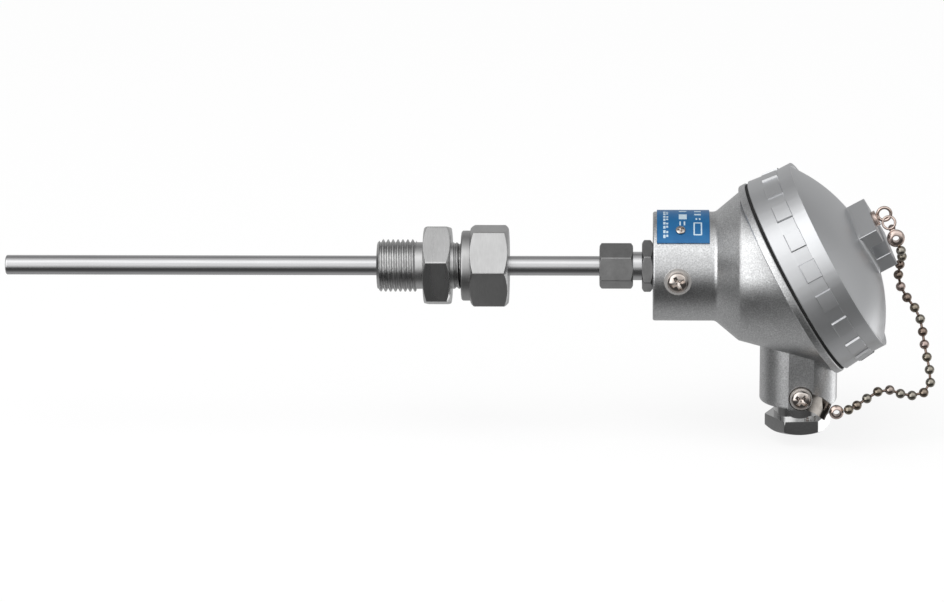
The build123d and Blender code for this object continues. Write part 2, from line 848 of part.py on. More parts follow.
# Lug under the lower screw: a ring with an arm that turns out from the pad
arm = math.radians(lug_arm_droop)
lug_plane = Plane(
    origin=pad_side.origin, x_dir=(math.cos(arm), 0, -math.sin(arm)), z_dir=(0, -1, 0)
)
tab = math.radians(lug_tab_bend)
lug_side = Plane(origin=lug_plane.origin, x_dir=lug_plane.x_dir, z_dir=-lug_plane.y_dir)
with BuildPart() as chain_lug:
    with BuildSketch(lug_plane):
        Circle(lug_washer_r)
    extrude(amount=lug_plate_thickness)
    t = lug_plate_thickness
    end_x = lug_arm_length + lug_tab_length * math.cos(tab)
    end_y = lug_tab_length * math.sin(tab)
    extrude(
        outline(
            lug_side,
            (0, 0),
            (lug_arm_length, 0),
            (end_x, end_y),
            (end_x - t * math.sin(tab), end_y + t * math.cos(tab)),
            (lug_arm_length - t * math.tan(tab / 2), t),
            (0, t),
        ),
        amount=lug_arm_width / 2,
        both=True,
    )
    with BuildSketch(lug_plane):
        Circle(lug_screw[2] + 0.15)
    extrude(amount=lug_plate_thickness, mode=Mode.SUBTRACT)
save("chain_lug", chain_lug.part)

lug_seat = pad_side.offset(lug_plate_thickness)
save("lug_washer", ring(lug_seat, lug_washer_r - 0.4, lug_screw[2] + 0.15, lug_washer_thickness))
lug_screw_length = lug_screw_reach + lug_plate_thickness + lug_washer_thickness
save("lug_screw", pan_screw(lug_seat.offset(lug_washer_thickness), lug_screw, lug_screw_length))

# Lower end of the chain: a shell held in the lug's tab
tab_end = lug_side.from_local_coords(Vector(end_x, end_y, 0))
bottom_bell_plane = Plane(
    origin=tab_end + Vector(bottom_bell_r + 0.3, -0.2, 0.1), x_dir=(0.97, 0, 0.2), z_dir=(0, -1, 0)
)
with BuildPart() as bottom_shell:
    with BuildSketch(bottom_bell_plane.offset(-top_bell_thickness / 2)):
        Circle(bottom_bell_r)
    extrude(amount=top_bell_thickness)
    chamfer(bottom_shell.edges().filter_by(GeomType.CIRCLE), 0.35 * top_bell_thickness)
    with BuildSketch(bottom_bell_plane.offset(-top_bell_thickness / 2)):
        Circle(bell_hole_r)
    extrude(amount=top_bell_thickness, mode=Mode.SUBTRACT)
save("chain_bottom_shell", bottom_shell.part)

# Chain: its hand-chosen route, from the seat of the cap, and beads spaced evenly along it
chain_start = top_bell_centre + top_bell_plane.x_dir * (top_bell_r + bead_d / 2 + link_gap)
chain_end = bottom_bell_plane.origin + bottom_bell_plane.x_dir * (bottom_bell_r + bead_d / 2 + link_gap)
chain_bends = [
    (32.2, 0.6, 5.2),
    (31.6, 3.1, 0.4),
    (32.8, 3.4, -5.2),
    (37.9, 2.4, -12.7),
    (39.6, 0.6, -20.6),
    (41.2, -1.8, -28.3),
    (41.0, -4.4, -34.4),
    (34.0, -7.1, -35.7),
    (27.4, -9.5, -33.2),
    (21.2, -11.6, -35.9),
]
chain_reach = Vector(16.18, -15.89, -37.56)
# where the lug moves, each bend follows it in proportion to its place on the chain
drift = chain_end - (cap_seat + chain_reach)
route_points = [chain_start]
for count, bend in enumerate(chain_bends, 1):
    route_points.append(cap_seat + Vector(*bend) + drift * (count / (len(chain_bends) + 1)))
route_points.append(chain_end)
with BuildLine() as route:
    Spline(*route_points)
chain_line = route.edges()[0]
bead_count = round(chain_line.length / bead_pitch) + 1
beads = [chain_line @ (i / (bead_count - 1)) for i in range(bead_count)]
bead_r = bead_d / 2
print("beads", bead_count, "pitch", round(chain_line.length / (bead_count - 1), 3), "end", chain_end - cap_seat)

# each bead is a faceted ball, flat where its links enter
bead_rings = [(-0.88, 0.48), (-0.5, 0.87), (0, 1.0), (0.5, 0.87), (0.88, 0.48)]
bead_end = bead_rings[-1][0] * bead_r
with BuildPart() as chain_beads:
    for count, centre in enumerate(beads):
        way = beads[min(count + 1, bead_count - 1)] - beads[max(count - 1, 0)]
        for along, width in bead_rings:
            with BuildSketch(Plane(origin=centre, z_dir=way).offset(along * bead_r)):
                RegularPolygon(width * bead_r, 12)
        loft(ruled=True)
save("chain_beads", chain_beads.part)

link_r = link_d / 2
with BuildPart() as chain_links:
    for first, second in zip(beads, beads[1:]):
        way = second - first
        foot = first + way.normalized() * (bead_r + link_gap)
        with BuildSketch(Plane(origin=foot, z_dir=way)):
            RegularPolygon(link_r, 8)
        extrude(amount=way.length - 2 * (bead_r + link_gap))
save("chain_links", chain_links.part)

# Terminal block with its two brass bars
with BuildPart() as terminal_block:
    with BuildSketch(cap_plane.offset(block_bottom)):
        with Locations((0, block_shift)):
            Circle(block_r)
        with Locations((0, block_shift + block_r)):
            Rectangle(notch_width, 2 * notch_depth, mode=Mode.SUBTRACT)
        with Locations((0, wire_hole_shift)):
            Circle(wire_hole_r, mode=Mode.SUBTRACT)
        with Locations((post_spread, block_shift), (-post_spread, block_shift)):
            Circle(block_screw[2] + screw_clearance, mode=Mode.SUBTRACT)
    extrude(amount=block_thickness)
    screw_places = [(s * bar_spread, y) for s in (1, -1) for y in (sensor_screw_y, cable_screw_y)]
    with BuildSketch(cap_plane.offset(block_top)):
        with Locations(*screw_places):
            Circle(terminal_screw[2] + screw_clearance)
    extrude(amount=-(terminal_screw_length - bar_thickness + 0.6), mode=Mode.SUBTRACT)
save("terminal_block", terminal_block.part)

for name, side in (("positive_terminal", 1), ("negative_terminal", -1)):
    with BuildPart() as bar:
        with BuildSketch(cap_plane.offset(block_top)):
            with Locations((side * bar_spread, bar_shift)):
                Rectangle(bar_width, bar_length)
        extrude(amount=bar_thickness)
        with BuildSketch(cap_plane.offset(block_top)):
            with Locations((side * bar_spread, sensor_screw_y), (side * bar_spread, cable_screw_y)):
                Circle(terminal_screw[2] + screw_clearance)
        extrude(amount=bar_thickness, mode=Mode.SUBTRACT)
    save(name, bar.part)

with BuildPart() as terminal_screws:
    for x, y in screw_places:
        # the sensor side's screws hold a wire under their heads
        lift = wire_d + 2 * core_clearance if y == sensor_screw_y else 0.0
        place = Plane(
            origin=cap_plane.from_local_coords(Vector(x, y, bar_top + lift)),
            x_dir=cap_plane.x_dir,
            z_dir=cap_axis,
        )
        add(pan_screw(place, terminal_screw, terminal_screw_length + lift, domed=False))
save("terminal_screws", terminal_screws.part)

with BuildPart() as block_screws:
    for side in (1, -1):
        place = Plane(
            origin=cap_plane.from_local_coords(Vector(side * post_spread, block_shift, block_top)),
            x_dir=cap_plane.x_dir,
            z_dir=cap_axis,
        )
        add(pan_screw(place, block_screw, block_screw_length, domed=False))
save("block_screws", block_screws.part)

# Gland: nut, washer and seal, from the bottom up
boss_bottom = -boss_drop
gland_bottom = boss_bottom - gland_collar_height - gland_hex_height
gland_top = boss_bottom + gland_shank_length
gland_r = gland_bore_r - gland_clearance
gland_corner_r = gland_hex_af / math.sqrt(3)
with BuildPart() as gland_nut:
    with BuildSketch(Plane.XY.offset(gland_bottom)):
        with Locations((boss_x, 0)):
            RegularPolygon(gland_hex_af / 2, 6, major_radius=False, rotation=gland_hex_turn)
    extrude(amount=gland_hex_height)
    with BuildSketch(Plane.XZ) as chamfer_section:
        with BuildLine():
            Polyline(
                (boss_x, gland_bottom),
                (boss_x + 0.985 * gland_hex_af / 2, gland_bottom),
                (boss_x + gland_corner_r, gland_bottom + 0.9),
                (boss_x + gland_corner_r, gland_bottom + gland_hex_height - 0.7),
                (boss_x + 0.985 * gland_hex_af / 2, gland_bottom + gland_hex_height),
                (boss_x, gland_bottom + gland_hex_height),
                close=True,
            )
        make_face()
    revolve(axis=Axis((boss_x, 0, 0), (0, 0, 1)), mode=Mode.INTERSECT)
    with BuildSketch(Plane.XY.offset(gland_bottom + gland_hex_height)):
        with Locations((boss_x, 0)):
            Circle(gland_r)
    extrude(amount=gland_collar_height + gland_shank_length)
    with BuildSketch(Plane.XY.offset(gland_bottom)):
        with Locations((boss_x, 0)):
            Circle(gland_hole_r)
    extrude(amount=gland_top - gland_bottom, mode=Mode.SUBTRACT)
save("gland_nut", gland_nut.part)

gland_washer_plane = Plane(origin=(boss_x, 0, gland_top), z_dir=(0, 0, 1))
seal_plane = gland_washer_plane.offset(gland_washer_thickness)
seal_height = gland_bore_depth - gland_shank_length - gland_washer_thickness
save("gland_washer", ring(gland_washer_plane, gland_r, gland_hole_r + 0.1, gland_washer_thickness))
save("gland_seal", ring(seal_plane, gland_r, seal_hole_r, seal_height))
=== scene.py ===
"""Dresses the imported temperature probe: finishes, fine thread, chain, floor, light and camera."""

import logging
import math
from collections.abc import Callable, Iterable, Sequence
from dataclasses import dataclass, field, replace
from enum import Enum

import bmesh
import bpy
from bmesh.types import BMesh, BMFace, BMVert
from mathutils import Matrix, Vector


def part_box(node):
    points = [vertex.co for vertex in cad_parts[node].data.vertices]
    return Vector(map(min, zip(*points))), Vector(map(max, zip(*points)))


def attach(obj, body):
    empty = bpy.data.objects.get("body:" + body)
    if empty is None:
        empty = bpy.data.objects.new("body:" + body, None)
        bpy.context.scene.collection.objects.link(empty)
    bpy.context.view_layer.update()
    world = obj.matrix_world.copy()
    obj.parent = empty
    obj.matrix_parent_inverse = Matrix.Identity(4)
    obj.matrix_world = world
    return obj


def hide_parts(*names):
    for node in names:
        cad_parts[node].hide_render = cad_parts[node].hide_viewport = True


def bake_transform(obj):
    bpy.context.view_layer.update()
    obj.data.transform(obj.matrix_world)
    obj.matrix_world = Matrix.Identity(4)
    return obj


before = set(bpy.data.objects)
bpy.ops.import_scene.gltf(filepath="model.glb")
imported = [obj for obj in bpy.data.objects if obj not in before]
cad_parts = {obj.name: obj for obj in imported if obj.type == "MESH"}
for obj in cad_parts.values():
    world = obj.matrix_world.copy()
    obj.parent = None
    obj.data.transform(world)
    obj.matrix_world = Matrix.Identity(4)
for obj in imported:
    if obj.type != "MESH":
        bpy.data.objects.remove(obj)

log = logging.getLogger("probe")
MM = 0.001
TAU = 2 * math.pi
WELD = 1e-4
SLIVER = 1e-5
Profile = list[tuple[float, float]]
Pairs = tuple[tuple[float, float], ...]
Colour = tuple[float, float, float]
Piece = bpy.types.Object
Tree = bpy.types.NodeTree
Socket = bpy.types.NodeSocket
Value = Socket | float | str | Sequence[float]


# Mesh tools


@dataclass(frozen=True)
class Lathe:
    """An axis to turn profiles about, in millimetres.

    Attributes:
        origin: A point on the axis.
        u: Unit direction at angle zero.
        w: Unit direction at a quarter turn.
    """

    origin: Vector
    u: Vector
    w: Vector

    @property
    def axis(self) -> Vector:
        """Unit direction of the axis."""
        return self.u.cross(self.w)

    def point(self, along: float, radius: float, angle: float) -> Vector:
        """A point in the row frame, in millimetres."""
        spoke = self.u * math.cos(angle) + self.w * math.sin(angle)
        return self.origin + self.axis * along + spoke * radius

    def place(self, x: float, y: float, z: float) -> Vector:
        """The point at local coordinates, in millimetres."""
        return self.origin + self.u * x + self.w * y + self.axis * z

    def matrix(self) -> Matrix:
        """Turns local millimetres into row millimetres."""
        rows = Matrix((self.u, self.w, self.axis)).transposed().to_4x4()
        return Matrix.Translation(self.origin) @ rows


def even(count: int) -> list[float]:
    """Evenly spaced angles of a full turn."""
    return [TAU * i / count for i in range(count)]


def tube(start: float, end: float, bore: float, radius: float) -> Profile:
    """The section of a plain tube."""
    return [(start, bore), (start, radius), (end, radius), (end, bore)]


def rounded(profile: Profile, radius: float, steps: int = 3) -> Profile:
    """Rounds the inner corners of an open profile.

    Args:
        profile: Points of the profile.
        radius: Radius wanted at each corner; shorter runs get less.
        steps: Segments of each rounding.

    Returns:
        The profile with its corners replaced by short curves.
    """
    most = 0.45
    made = [profile[0]]
    for before, here, after in zip(profile, profile[1:], profile[2:]):
        corner = Vector(here)
        a, b = Vector(before) - corner, Vector(after) - corner
        if min(a.length, b.length) < 1e-6:
            made.append(here)
            continue
        cut = min(radius, most * a.length, most * b.length)
        start, end = corner + a.normalized() * cut, corner + b.normalized() * cut
        for i in range(steps + 1):
            t = i / steps
            made.append(tuple(start * (1 - t) ** 2 + corner * 2 * t * (1 - t) + end * t**2))
    made.append(profile[-1])
    return made


def link_object(name: str, data: bpy.types.ID) -> Piece:
    """A new object in the scene's collection."""
    made = bpy.data.objects.new(name, data)
    bpy.context.scene.collection.objects.link(made)
    return made


def plain_mesh(holder: Piece) -> bpy.types.Mesh:
    """The mesh that an object's modifiers make."""
    graph = bpy.context.evaluated_depsgraph_get()
    return bpy.data.meshes.new_from_object(holder.evaluated_get(graph))


def shade_smooth(mesh: bpy.types.Mesh) -> None:
    """Shades every face smooth."""
    mesh.polygons.foreach_set("use_smooth", [True] * len(mesh.polygons))


def weld(bm: BMesh) -> None:
    """Merges doubled points and takes out faces without area."""
    bmesh.ops.remove_doubles(bm, verts=bm.verts, dist=WELD)
    bmesh.ops.dissolve_degenerate(bm, dist=SLIVER, edges=bm.edges)


def pour(part: BMesh, bm: BMesh) -> None:
    """Adds one bmesh to another, and frees the first."""
    carry = bpy.data.meshes.new("carry")
    part.to_mesh(carry)
    part.free()
    bm.from_mesh(carry)
    bpy.data.meshes.remove(carry)


def finish_mesh(name: str, bm: BMesh, sharp: float) -> Piece:
    """Turns a closed bmesh in millimetres into a smooth-shaded object in metres.

    Args:
        name: The object's name.
        bm: The mesh, which is freed.
        sharp: Edges steeper than this many degrees stay crisp.

    Returns:
        The linked object.
    """
    weld(bm)
    bmesh.ops.recalc_face_normals(bm, faces=bm.faces)
    bmesh.ops.scale(bm, vec=(MM, MM, MM), verts=bm.verts)
    mesh = bpy.data.meshes.new(name)
    bm.to_mesh(mesh)
    bm.free()
    shade_smooth(mesh)
    mesh.set_sharp_from_angle(angle=math.radians(sharp))
    made = link_object(name, mesh)
    # large flat faces keep their own direction, so that only the roundings between them bend
    weigh = made.modifiers.new("weigh", "WEIGHTED_NORMAL")
    weigh.keep_sharp = True
    made.data = plain_mesh(made)
    made.modifiers.remove(weigh)
    bpy.data.meshes.remove(mesh)
    made.data.name = name
    return made


def add_rings(bm: BMesh, rings: Sequence[Sequence[Vector]], closed: bool) -> None:
    """Skins rings of equal point counts with quads.

    Args:
        bm: The mesh to add to, in millimetres.
        rings: The rings, each closed on itself.
        closed: Joins the last ring to the first, else both ends are capped.
    """
    rows = [[bm.verts.new(p) for p in ring] for ring in rings]
    pairs = list(zip(rows, rows[1:]))
    if closed:
        pairs.append((rows[-1], rows[0]))
    for low, high in pairs:
        for i in range(len(low)):
            j = (i + 1) % len(low)
            bm.faces.new((low[i], low[j], high[j], high[i]))
    if not closed:
        bm.faces.new(rows[0])
        bm.faces.new(rows[-1])


def turn(
    bm: BMesh,
    lathe: Lathe,
    profile: Profile | Callable[[float], Profile],
    angles: Sequence[float],
    closed: bool = True,
) -> None:
    """Turns a profile of (along, radius) points, which may change with the angle.

    Args:
        bm: The mesh to add to, in millimetres.
        lathe: The axis.
        profile: The profile, or a function of the angle that gives it.
        angles: Angles of the columns.
        closed: Whether the profile closes on itself, as on a ring.
    """
    columns = [profile(a) if callable(profile) else profile for a in angles]
    rings = [[lathe.point(*p, a) for p, a in zip(level, angles)] for level in zip(*columns)]
    add_rings(bm, rings, closed)


@dataclass(frozen=True)
class HexBar:
    """A hexagon whose corners are turned down at its ends.

    Attributes:
        start: Where it starts on the axis.
        end: Where it ends.
        across_flats: Its size.
        turn: Angle of one corner, in degrees.
        bore: Radius of the hole through it.
        chamfered: Whether its start and its end are turned down.
        blunt: Share of a sharp corner's reach that is left.
        face: Radius of a turned-down end, as a share of half the size.
        nick: Bevel of an end that isn't turned down.
        edge: Rounding of the section's corners.
    """

    start: float
    end: float
    across_flats: float
    turn: float
    bore: float
    chamfered: tuple[bool, bool] = (True, True)
    blunt: float = 0.992
    face: float = 0.985
    nick: float = 0.05
    edge: float = 0.22

    def angles(self) -> list[float]:
        """Columns, closer together at the corners."""
        offsets = (-30, -29.4, -28.6, -20, -10, 0, 10, 20, 28.6, 29.4)
        base = math.radians(self.turn + 30)
        return [base + math.radians(60 * side + o) for side in range(6) for o in offsets]

    def radius(self, angle: float) -> float:
        """Distance of the surface from the axis, with a small rounding at the corners."""
        from_flat = (math.degrees(angle) - self.turn) % 60 - 30
        exact = self.across_flats / 2 / math.cos(math.radians(from_flat))
        return min(exact, self.blunt * self.across_flats / math.sqrt(3))

    def profile(self, angle: float) -> Profile:
        """The section at an angle, from bore to bore.

        Args:
            angle: The angle about the axis, in radians.

        Returns:
            Points of (along, radius).
        """
        face = self.face * self.across_flats / 2
        out = self.radius(angle)
        drop = (out - face) * math.tan(math.radians(30))
        nick = (out - self.nick, self.nick)
        low, high = ((face, drop) if flag else nick for flag in self.chamfered)
        section = [(self.start, self.bore), (self.start, low[0]), (self.start + low[1], out)]
        section += [(self.end - high[1], out), (self.end, high[0]), (self.end, self.bore)]
        return rounded(section, self.edge, 2)

    def add(self, bm: BMesh, lathe: Lathe) -> None:
        """Adds the bar to a mesh."""
        turn(bm, lathe, self.profile, self.angles())


def merged_copy(node: str) -> BMesh:
    """A welded copy of a CAD node's mesh, in millimetres.

    Args:
        node: The CAD node.

    Returns:
        The copy.
    """
    bm = bmesh.new()
    bm.from_mesh(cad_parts[node].data)
    bmesh.ops.scale(bm, vec=(1 / MM, 1 / MM, 1 / MM), verts=bm.verts)
    bmesh.ops.remove_doubles(bm, verts=bm.verts, dist=10 * WELD)
    return bm


def islands(node: str) -> list[Vector]:
    """Centres of the separate solids of a CAD node, in millimetres.

    Args:
        node: The CAD node.

    Returns:
        The middle of each solid's box.
    """
    bm = merged_copy(node)
    left = set(bm.verts)
    centres = []
    while left:
        stack = [left.pop()]
        group = []
        while stack:
            vert = stack.pop()
            group.append(vert.co)
            near = {edge.other_vert(vert) for edge in vert.link_edges} & left
            left -= near
            stack += near
        low, high = (Vector([pick(p[i] for p in group) for i in range(3)]) for pick in (min, max))
        centres.append((low + high) / 2)
    bm.free()
    return centres


# Node tools


def connect(tree: Tree, socket: Socket, value: Value) -> None:
    """Links a socket to an output, or gives it a constant; a colour gets full alpha."""
    if isinstance(value, Socket):
        tree.links.new(value, socket)
    else:
        socket.default_value = (*value, 1) if socket.type == "RGBA" else value


def add_node(tree: Tree, kind: str, inputs: dict | None = None, **settings) -> bpy.types.Node:
    """Adds a node to a tree.

    Args:
        tree: The tree.
        kind: The node's type.
        inputs: An output or a constant for each input, by its name or number.
        settings: Properties of the node, set before its inputs.

    Returns:
        The node.
    """
    node = tree.nodes.new(kind)
    for name, value in settings.items():
        setattr(node, name, value)
    for key, value in (inputs or {}).items():
        connect(tree, node.inputs[key], value)
    return node


def math_node(tree: Tree, operation: str, *values: Socket | float, clamp: bool = False) -> Socket:
    """A Math node on numbers or sockets; returns its output socket."""
    inputs = dict(enumerate(values))
    return add_node(tree, "ShaderNodeMath", inputs, operation=operation, use_clamp=clamp).outputs[0]


def mix_colours(tree: Tree, share: Value, a: Value, b: Value, how: str = "MIX") -> Socket:
    """Mixes two colours.

    Args:
        tree: The tree.
        share: How much of the second colour.
        a: The first colour.
        b: The second colour.
        how: The blending mode.

    Returns:
        The mixed colour.
    """
    inputs = {"Factor": share, "A": a, "B": b}
    node = add_node(tree, "ShaderNodeMix", inputs, data_type="RGBA", blend_type=how)
    return node.outputs["Result"]


def ramp(tree: Tree, stops: Sequence[tuple[float, Colour]], value: Socket) -> Socket:
    """A colour ramp over a socket.

    Args:
        tree: The tree.
        stops: Position and colour pairs.
        value: The socket that drives it.

    Returns:
        The ramp's colour.
    """
    node = add_node(tree, "ShaderNodeValToRGB", {"Fac": value})
    elements = node.color_ramp.elements
    elements[0].position, elements[1].position = stops[0][0], stops[-1][0]
    for position, _ in stops[1:-1]:
        elements.new(position)
    for element, (_, colour) in zip(elements, stops):
        element.color = (*colour, 1)
    return node.outputs["Color"]


def greys(stops: Iterable[tuple[float, float]]) -> list[tuple[float, Colour]]:
    """Stops of a ramp from pairs of position and brightness."""
    return [(position, (grey, grey, grey)) for position, grey in stops]


def around_x(tree: Tree, vector: Socket) -> tuple[Socket, Socket, Socket, Socket]:
    """Splits a vector and finds its angle about X: 0 in front, a quarter turn overhead.

    Args:
        tree: The tree.
        vector: The vector.

    Returns:
        Its X, Y and Z, and the angle in radians.
    """
    x, y, z = add_node(tree, "ShaderNodeSeparateXYZ", {0: vector}).outputs
    return x, y, z, math_node(tree, "ARCTAN2", z, math_node(tree, "MULTIPLY", y, -1.0))


def open_group(name: str, tree_type: str, inputs: dict) -> tuple[Tree, bpy.types.NodeOutputs]:
    """Makes a node group with named inputs.

    Args:
        name: The group's name.
        tree_type: Its type.
        inputs: For each input its default, if it is a number, or else its kind.

    Returns:
        The group and the outputs of its input node.
    """
    group = bpy.data.node_groups.new(name, tree_type)
    for label, given in inputs.items():
        kind = given if isinstance(given, str) else "Float"
        socket = group.interface.new_socket(label, in_out="INPUT", socket_type=f"NodeSocket{kind}")
        if kind is not given:
            socket.default_value = given
    return group, group.nodes.new("NodeGroupInput").outputs


def put_out(group: Tree, outputs: dict[str, Socket]) -> Tree:
    """Gives a group its outputs, each of the kind that feeds it.

    Args:
        group: The group.
        outputs: What feeds each output.

    Returns:
        The group.
    """
    kinds = {"VALUE": "Float", "RGBA": "Color", "GEOMETRY": "Geometry"}
    for label, feed in outputs.items():
        kind = f"NodeSocket{kinds[feed.type]}"
        group.interface.new_socket(label, in_out="OUTPUT", socket_type=kind)
    add_node(group, "NodeGroupOutput", outputs)
    return group


# Shared effects


class Effect(Enum):
    """Shared shader effects, each one node group."""

    GRAIN = "surface_grain"
    DRIFT = "tone_drift"
    PATCH = "print_patch"


def build_grain() -> Tree:
    """Fine relief and uneven roughness: blasted, turned or drawn, by its stretch."""
    sockets = {"Vector": "Vector", "Scale": 1000, "Roughness": 0.3, "Spread": 0.1, "Speckle": 0.2}
    group, given = open_group(Effect.GRAIN.value, "ShaderNodeTree", sockets)
    patch_share, middle = 0.09, 0.5
    grid = {"Vector": given["Vector"], "Scale": given["Scale"]}
    fine = add_node(group, "ShaderNodeTexNoise", grid | {"Detail": 3, "Roughness": 0.6}).outputs[0]
    cells = add_node(group, "ShaderNodeTexVoronoi", grid).outputs["Distance"]
    grid["Scale"] = math_node(group, "MULTIPLY", given["Scale"], patch_share)
    patches = add_node(group, "ShaderNodeTexNoise", grid | {"Detail": 4}).outputs[0]
    swing = math_node(group, "SUBTRACT", patches, middle)
    swing = math_node(group, "MULTIPLY", swing, given["Spread"])
    rough = math_node(group, "MULTIPLY_ADD", swing, 2.0, given["Roughness"], clamp=True)
    dots = math_node(group, "SUBTRACT", cells, fine)
    height = math_node(group, "MULTIPLY_ADD", dots, given["Speckle"], fine)
    tone = math_node(group, "MULTIPLY_ADD", dots, given["Speckle"], 1.0)
    return put_out(group, {"Roughness": rough, "Height": height, "Tone": tone})


def build_drift() -> Tree:
    """Slow change of tone over a surface, between two colours."""
    sockets = {"Vector": "Vector", "Scale": 60, "Amount": 0.5, "Colour": "Color", "Other": "Color"}
    group, given = open_group(Effect.DRIFT.value, "ShaderNodeTree", sockets)
    inputs = {"Vector": given["Vector"], "Scale": given["Scale"], "Detail": 5, "Roughness": 0.62}
    noise = add_node(group, "ShaderNodeTexNoise", inputs).outputs[0]
    lowest, contrast = 0.38, 4.0
    spread = math_node(group, "SUBTRACT", noise, lowest)
    spread = math_node(group, "MULTIPLY", spread, contrast, clamp=True)
    amount = math_node(group, "MULTIPLY", spread, given["Amount"], clamp=True)
    return put_out(group, {"Colour": mix_colours(group, amount, given["Colour"], given["Other"])})


def build_patch() -> Tree:
    """One at points inside a rectangle of the label's u and v, and zero outside."""
    sockets = dict.fromkeys(("U", "V", "Centre U", "Centre V", "Half U", "Half V"), 0)
    group, given = open_group(Effect.PATCH.value, "ShaderNodeTree", sockets)
    inside = []
    for side in ("U", "V"):
        away = math_node(group, "SUBTRACT", given[side], given[f"Centre {side}"])
        away = math_node(group, "ABSOLUTE", away)
        inside.append(math_node(group, "LESS_THAN", away, given[f"Half {side}"]))
    return put_out(group, {"Mask": math_node(group, "MULTIPLY", *inside)})


def place_group(tree: Tree, effect: Effect, inputs: dict[str, Value]) -> bpy.types.NodeOutputs:
    """Puts a shared effect into a material, and builds its group the first time.

    Args:
        tree: The material's tree.
        effect: The effect.
        inputs: An output or a constant for each of its inputs.

    Returns:
        The effect's outputs.
    """
    makers = {Effect.GRAIN: build_grain, Effect.DRIFT: build_drift, Effect.PATCH: build_patch}
    group = bpy.data.node_groups.get(effect.value) or makers[effect]()
    return add_node(tree, "ShaderNodeGroup", inputs, node_tree=group).outputs


# Finishes


@dataclass(frozen=True)
class Coat:
    """What every finish is: one material, built once.

    Attributes:
        name: The material's name.
    """

    name: str

    def material(self) -> bpy.types.Material:
        """Builds the material once and returns it."""
        found = bpy.data.materials.get(self.name)
        if found:
            return found
        made = bpy.data.materials.new(self.name)
        made.use_nodes = True
        tree = made.node_tree
        place = add_node(tree, "ShaderNodeTexCoord").outputs["Object"]
        shader = tree.nodes["Principled BSDF"]
        for label, value in self.shader_inputs(tree, place).items():
            connect(tree, shader.inputs[label], value)
        return made

    def shader_inputs(self, tree: Tree, place: Socket) -> dict[str, Value]:
        """What the shader gets.

        Args:
            tree: The material's tree.
            place: Object coordinates.

        Returns:
            An output or a constant for each of the shader's inputs that it sets.
        """
        raise NotImplementedError


@dataclass(frozen=True)
class Finish(Coat):
    """A finish with grain and a slow change of tone.

    Attributes:
        colour: Main colour.
        other: Colour that it drifts to.
        metallic: Zero or one.
        roughness: Mean roughness.
        spread: How far the roughness swings.
        scale: Grain density per metre.
        stretch: Grain stretch along X, Y and Z; small numbers draw it out.
        relief: Depth of the grain, in metres.
        speckle: Share of round blasting dents in the relief and the tone.
        drift: Amount of the second colour.
        drift_scale: Size of its patches, per metre.
    """

    colour: Colour
    other: Colour
    metallic: float = 1.0
    roughness: float = 0.3
    spread: float = 0.1
    scale: float = 2500.0
    stretch: tuple[float, float, float] = (1.0, 1.0, 1.0)
    relief: float = 0.00002
    speckle: float = 0.1
    drift: float = 0.4
    drift_scale: float = 90.0

    def shader_inputs(self, tree: Tree, place: Socket) -> dict[str, Value]:
        """What the shader gets: grain in relief, gloss and tone, and the drifting colour.

        Args:
            tree: The material's tree.
            place: Object coordinates.

        Returns:
            An output or a constant for each input that it sets.
        """
        drawn = add_node(tree, "ShaderNodeMapping", {"Vector": place, "Scale": self.stretch})
        grain_inputs = {
            "Vector": drawn.outputs[0], "Scale": self.scale, "Roughness": self.roughness,
            "Spread": self.spread, "Speckle": self.speckle,
        }
        drift_inputs = {
            "Vector": place, "Scale": self.drift_scale, "Amount": self.drift,
            "Colour": self.colour, "Other": self.other,
        }
        grain = place_group(tree, Effect.GRAIN, grain_inputs)
        drift = place_group(tree, Effect.DRIFT, drift_inputs)
        relief = {"Distance": self.relief, "Height": grain["Height"]}
        return {
            "Base Color": mix_colours(tree, 1.0, drift["Colour"], grain["Tone"], "MULTIPLY"),
            "Roughness": grain["Roughness"],
            "Metallic": self.metallic,
            "Normal": add_node(tree, "ShaderNodeBump", relief).outputs[0],
        }


DRAWN_SHEATH = Finish(
    "drawn_sheath", (0.60, 0.60, 0.61), (0.50, 0.50, 0.50), roughness=0.2, spread=0.08,
    scale=1800, stretch=(0.03, 1, 1), relief=0.000006, drift=0.25, drift_scale=25,
)
TURNED_STEEL = Finish(
    "turned_steel", (0.57, 0.57, 0.57), (0.46, 0.46, 0.46), roughness=0.25, spread=0.14,
    scale=2600, stretch=(1, 0.15, 0.15), relief=0.000008, drift_scale=140,
)
NUT_STEEL = replace(
    TURNED_STEEL, name="nut_steel", colour=(0.46, 0.46, 0.46), other=(0.39, 0.39, 0.39), roughness=0.36
)
DULL_STEEL = Finish(
    "dull_steel", (0.33, 0.33, 0.33), (0.22, 0.22, 0.22), roughness=0.34, spread=0.15,
    scale=2400, relief=0.00001, drift=0.5, drift_scale=220,
)
BLASTED_ALLOY = Finish(
    "blasted_alloy", (0.58, 0.585, 0.59), (0.50, 0.505, 0.51), roughness=0.33,
    scale=2200, relief=0.00004, speckle=0.5, drift=0.35, drift_scale=160,
)
CAP_ALLOY = Finish(
    "cap_alloy", (0.58, 0.585, 0.59), (0.52, 0.525, 0.53), spread=0.08,
    scale=1900, speckle=0.4, drift=0.3, drift_scale=110,
)
NICKEL_PLATE = Finish(
    "nickel_plate", (0.56, 0.52, 0.49), (0.42, 0.35, 0.31), roughness=0.1, spread=0.08,
    scale=2000, relief=0.000006, drift=0.5, drift_scale=500,
)
WASHER_PLATE = replace(
    NICKEL_PLATE, name="washer_plate", colour=(0.82, 0.80, 0.78), other=(0.70, 0.68, 0.66),
    roughness=0.42, drift=0.4,
)
BRIGHT_NUT = Finish(
    "bright_nut", (0.56, 0.56, 0.56), (0.48, 0.48, 0.48), roughness=0.1, spread=0.06,
    scale=1500, relief=0.000004, drift=0.3, drift_scale=150,
)
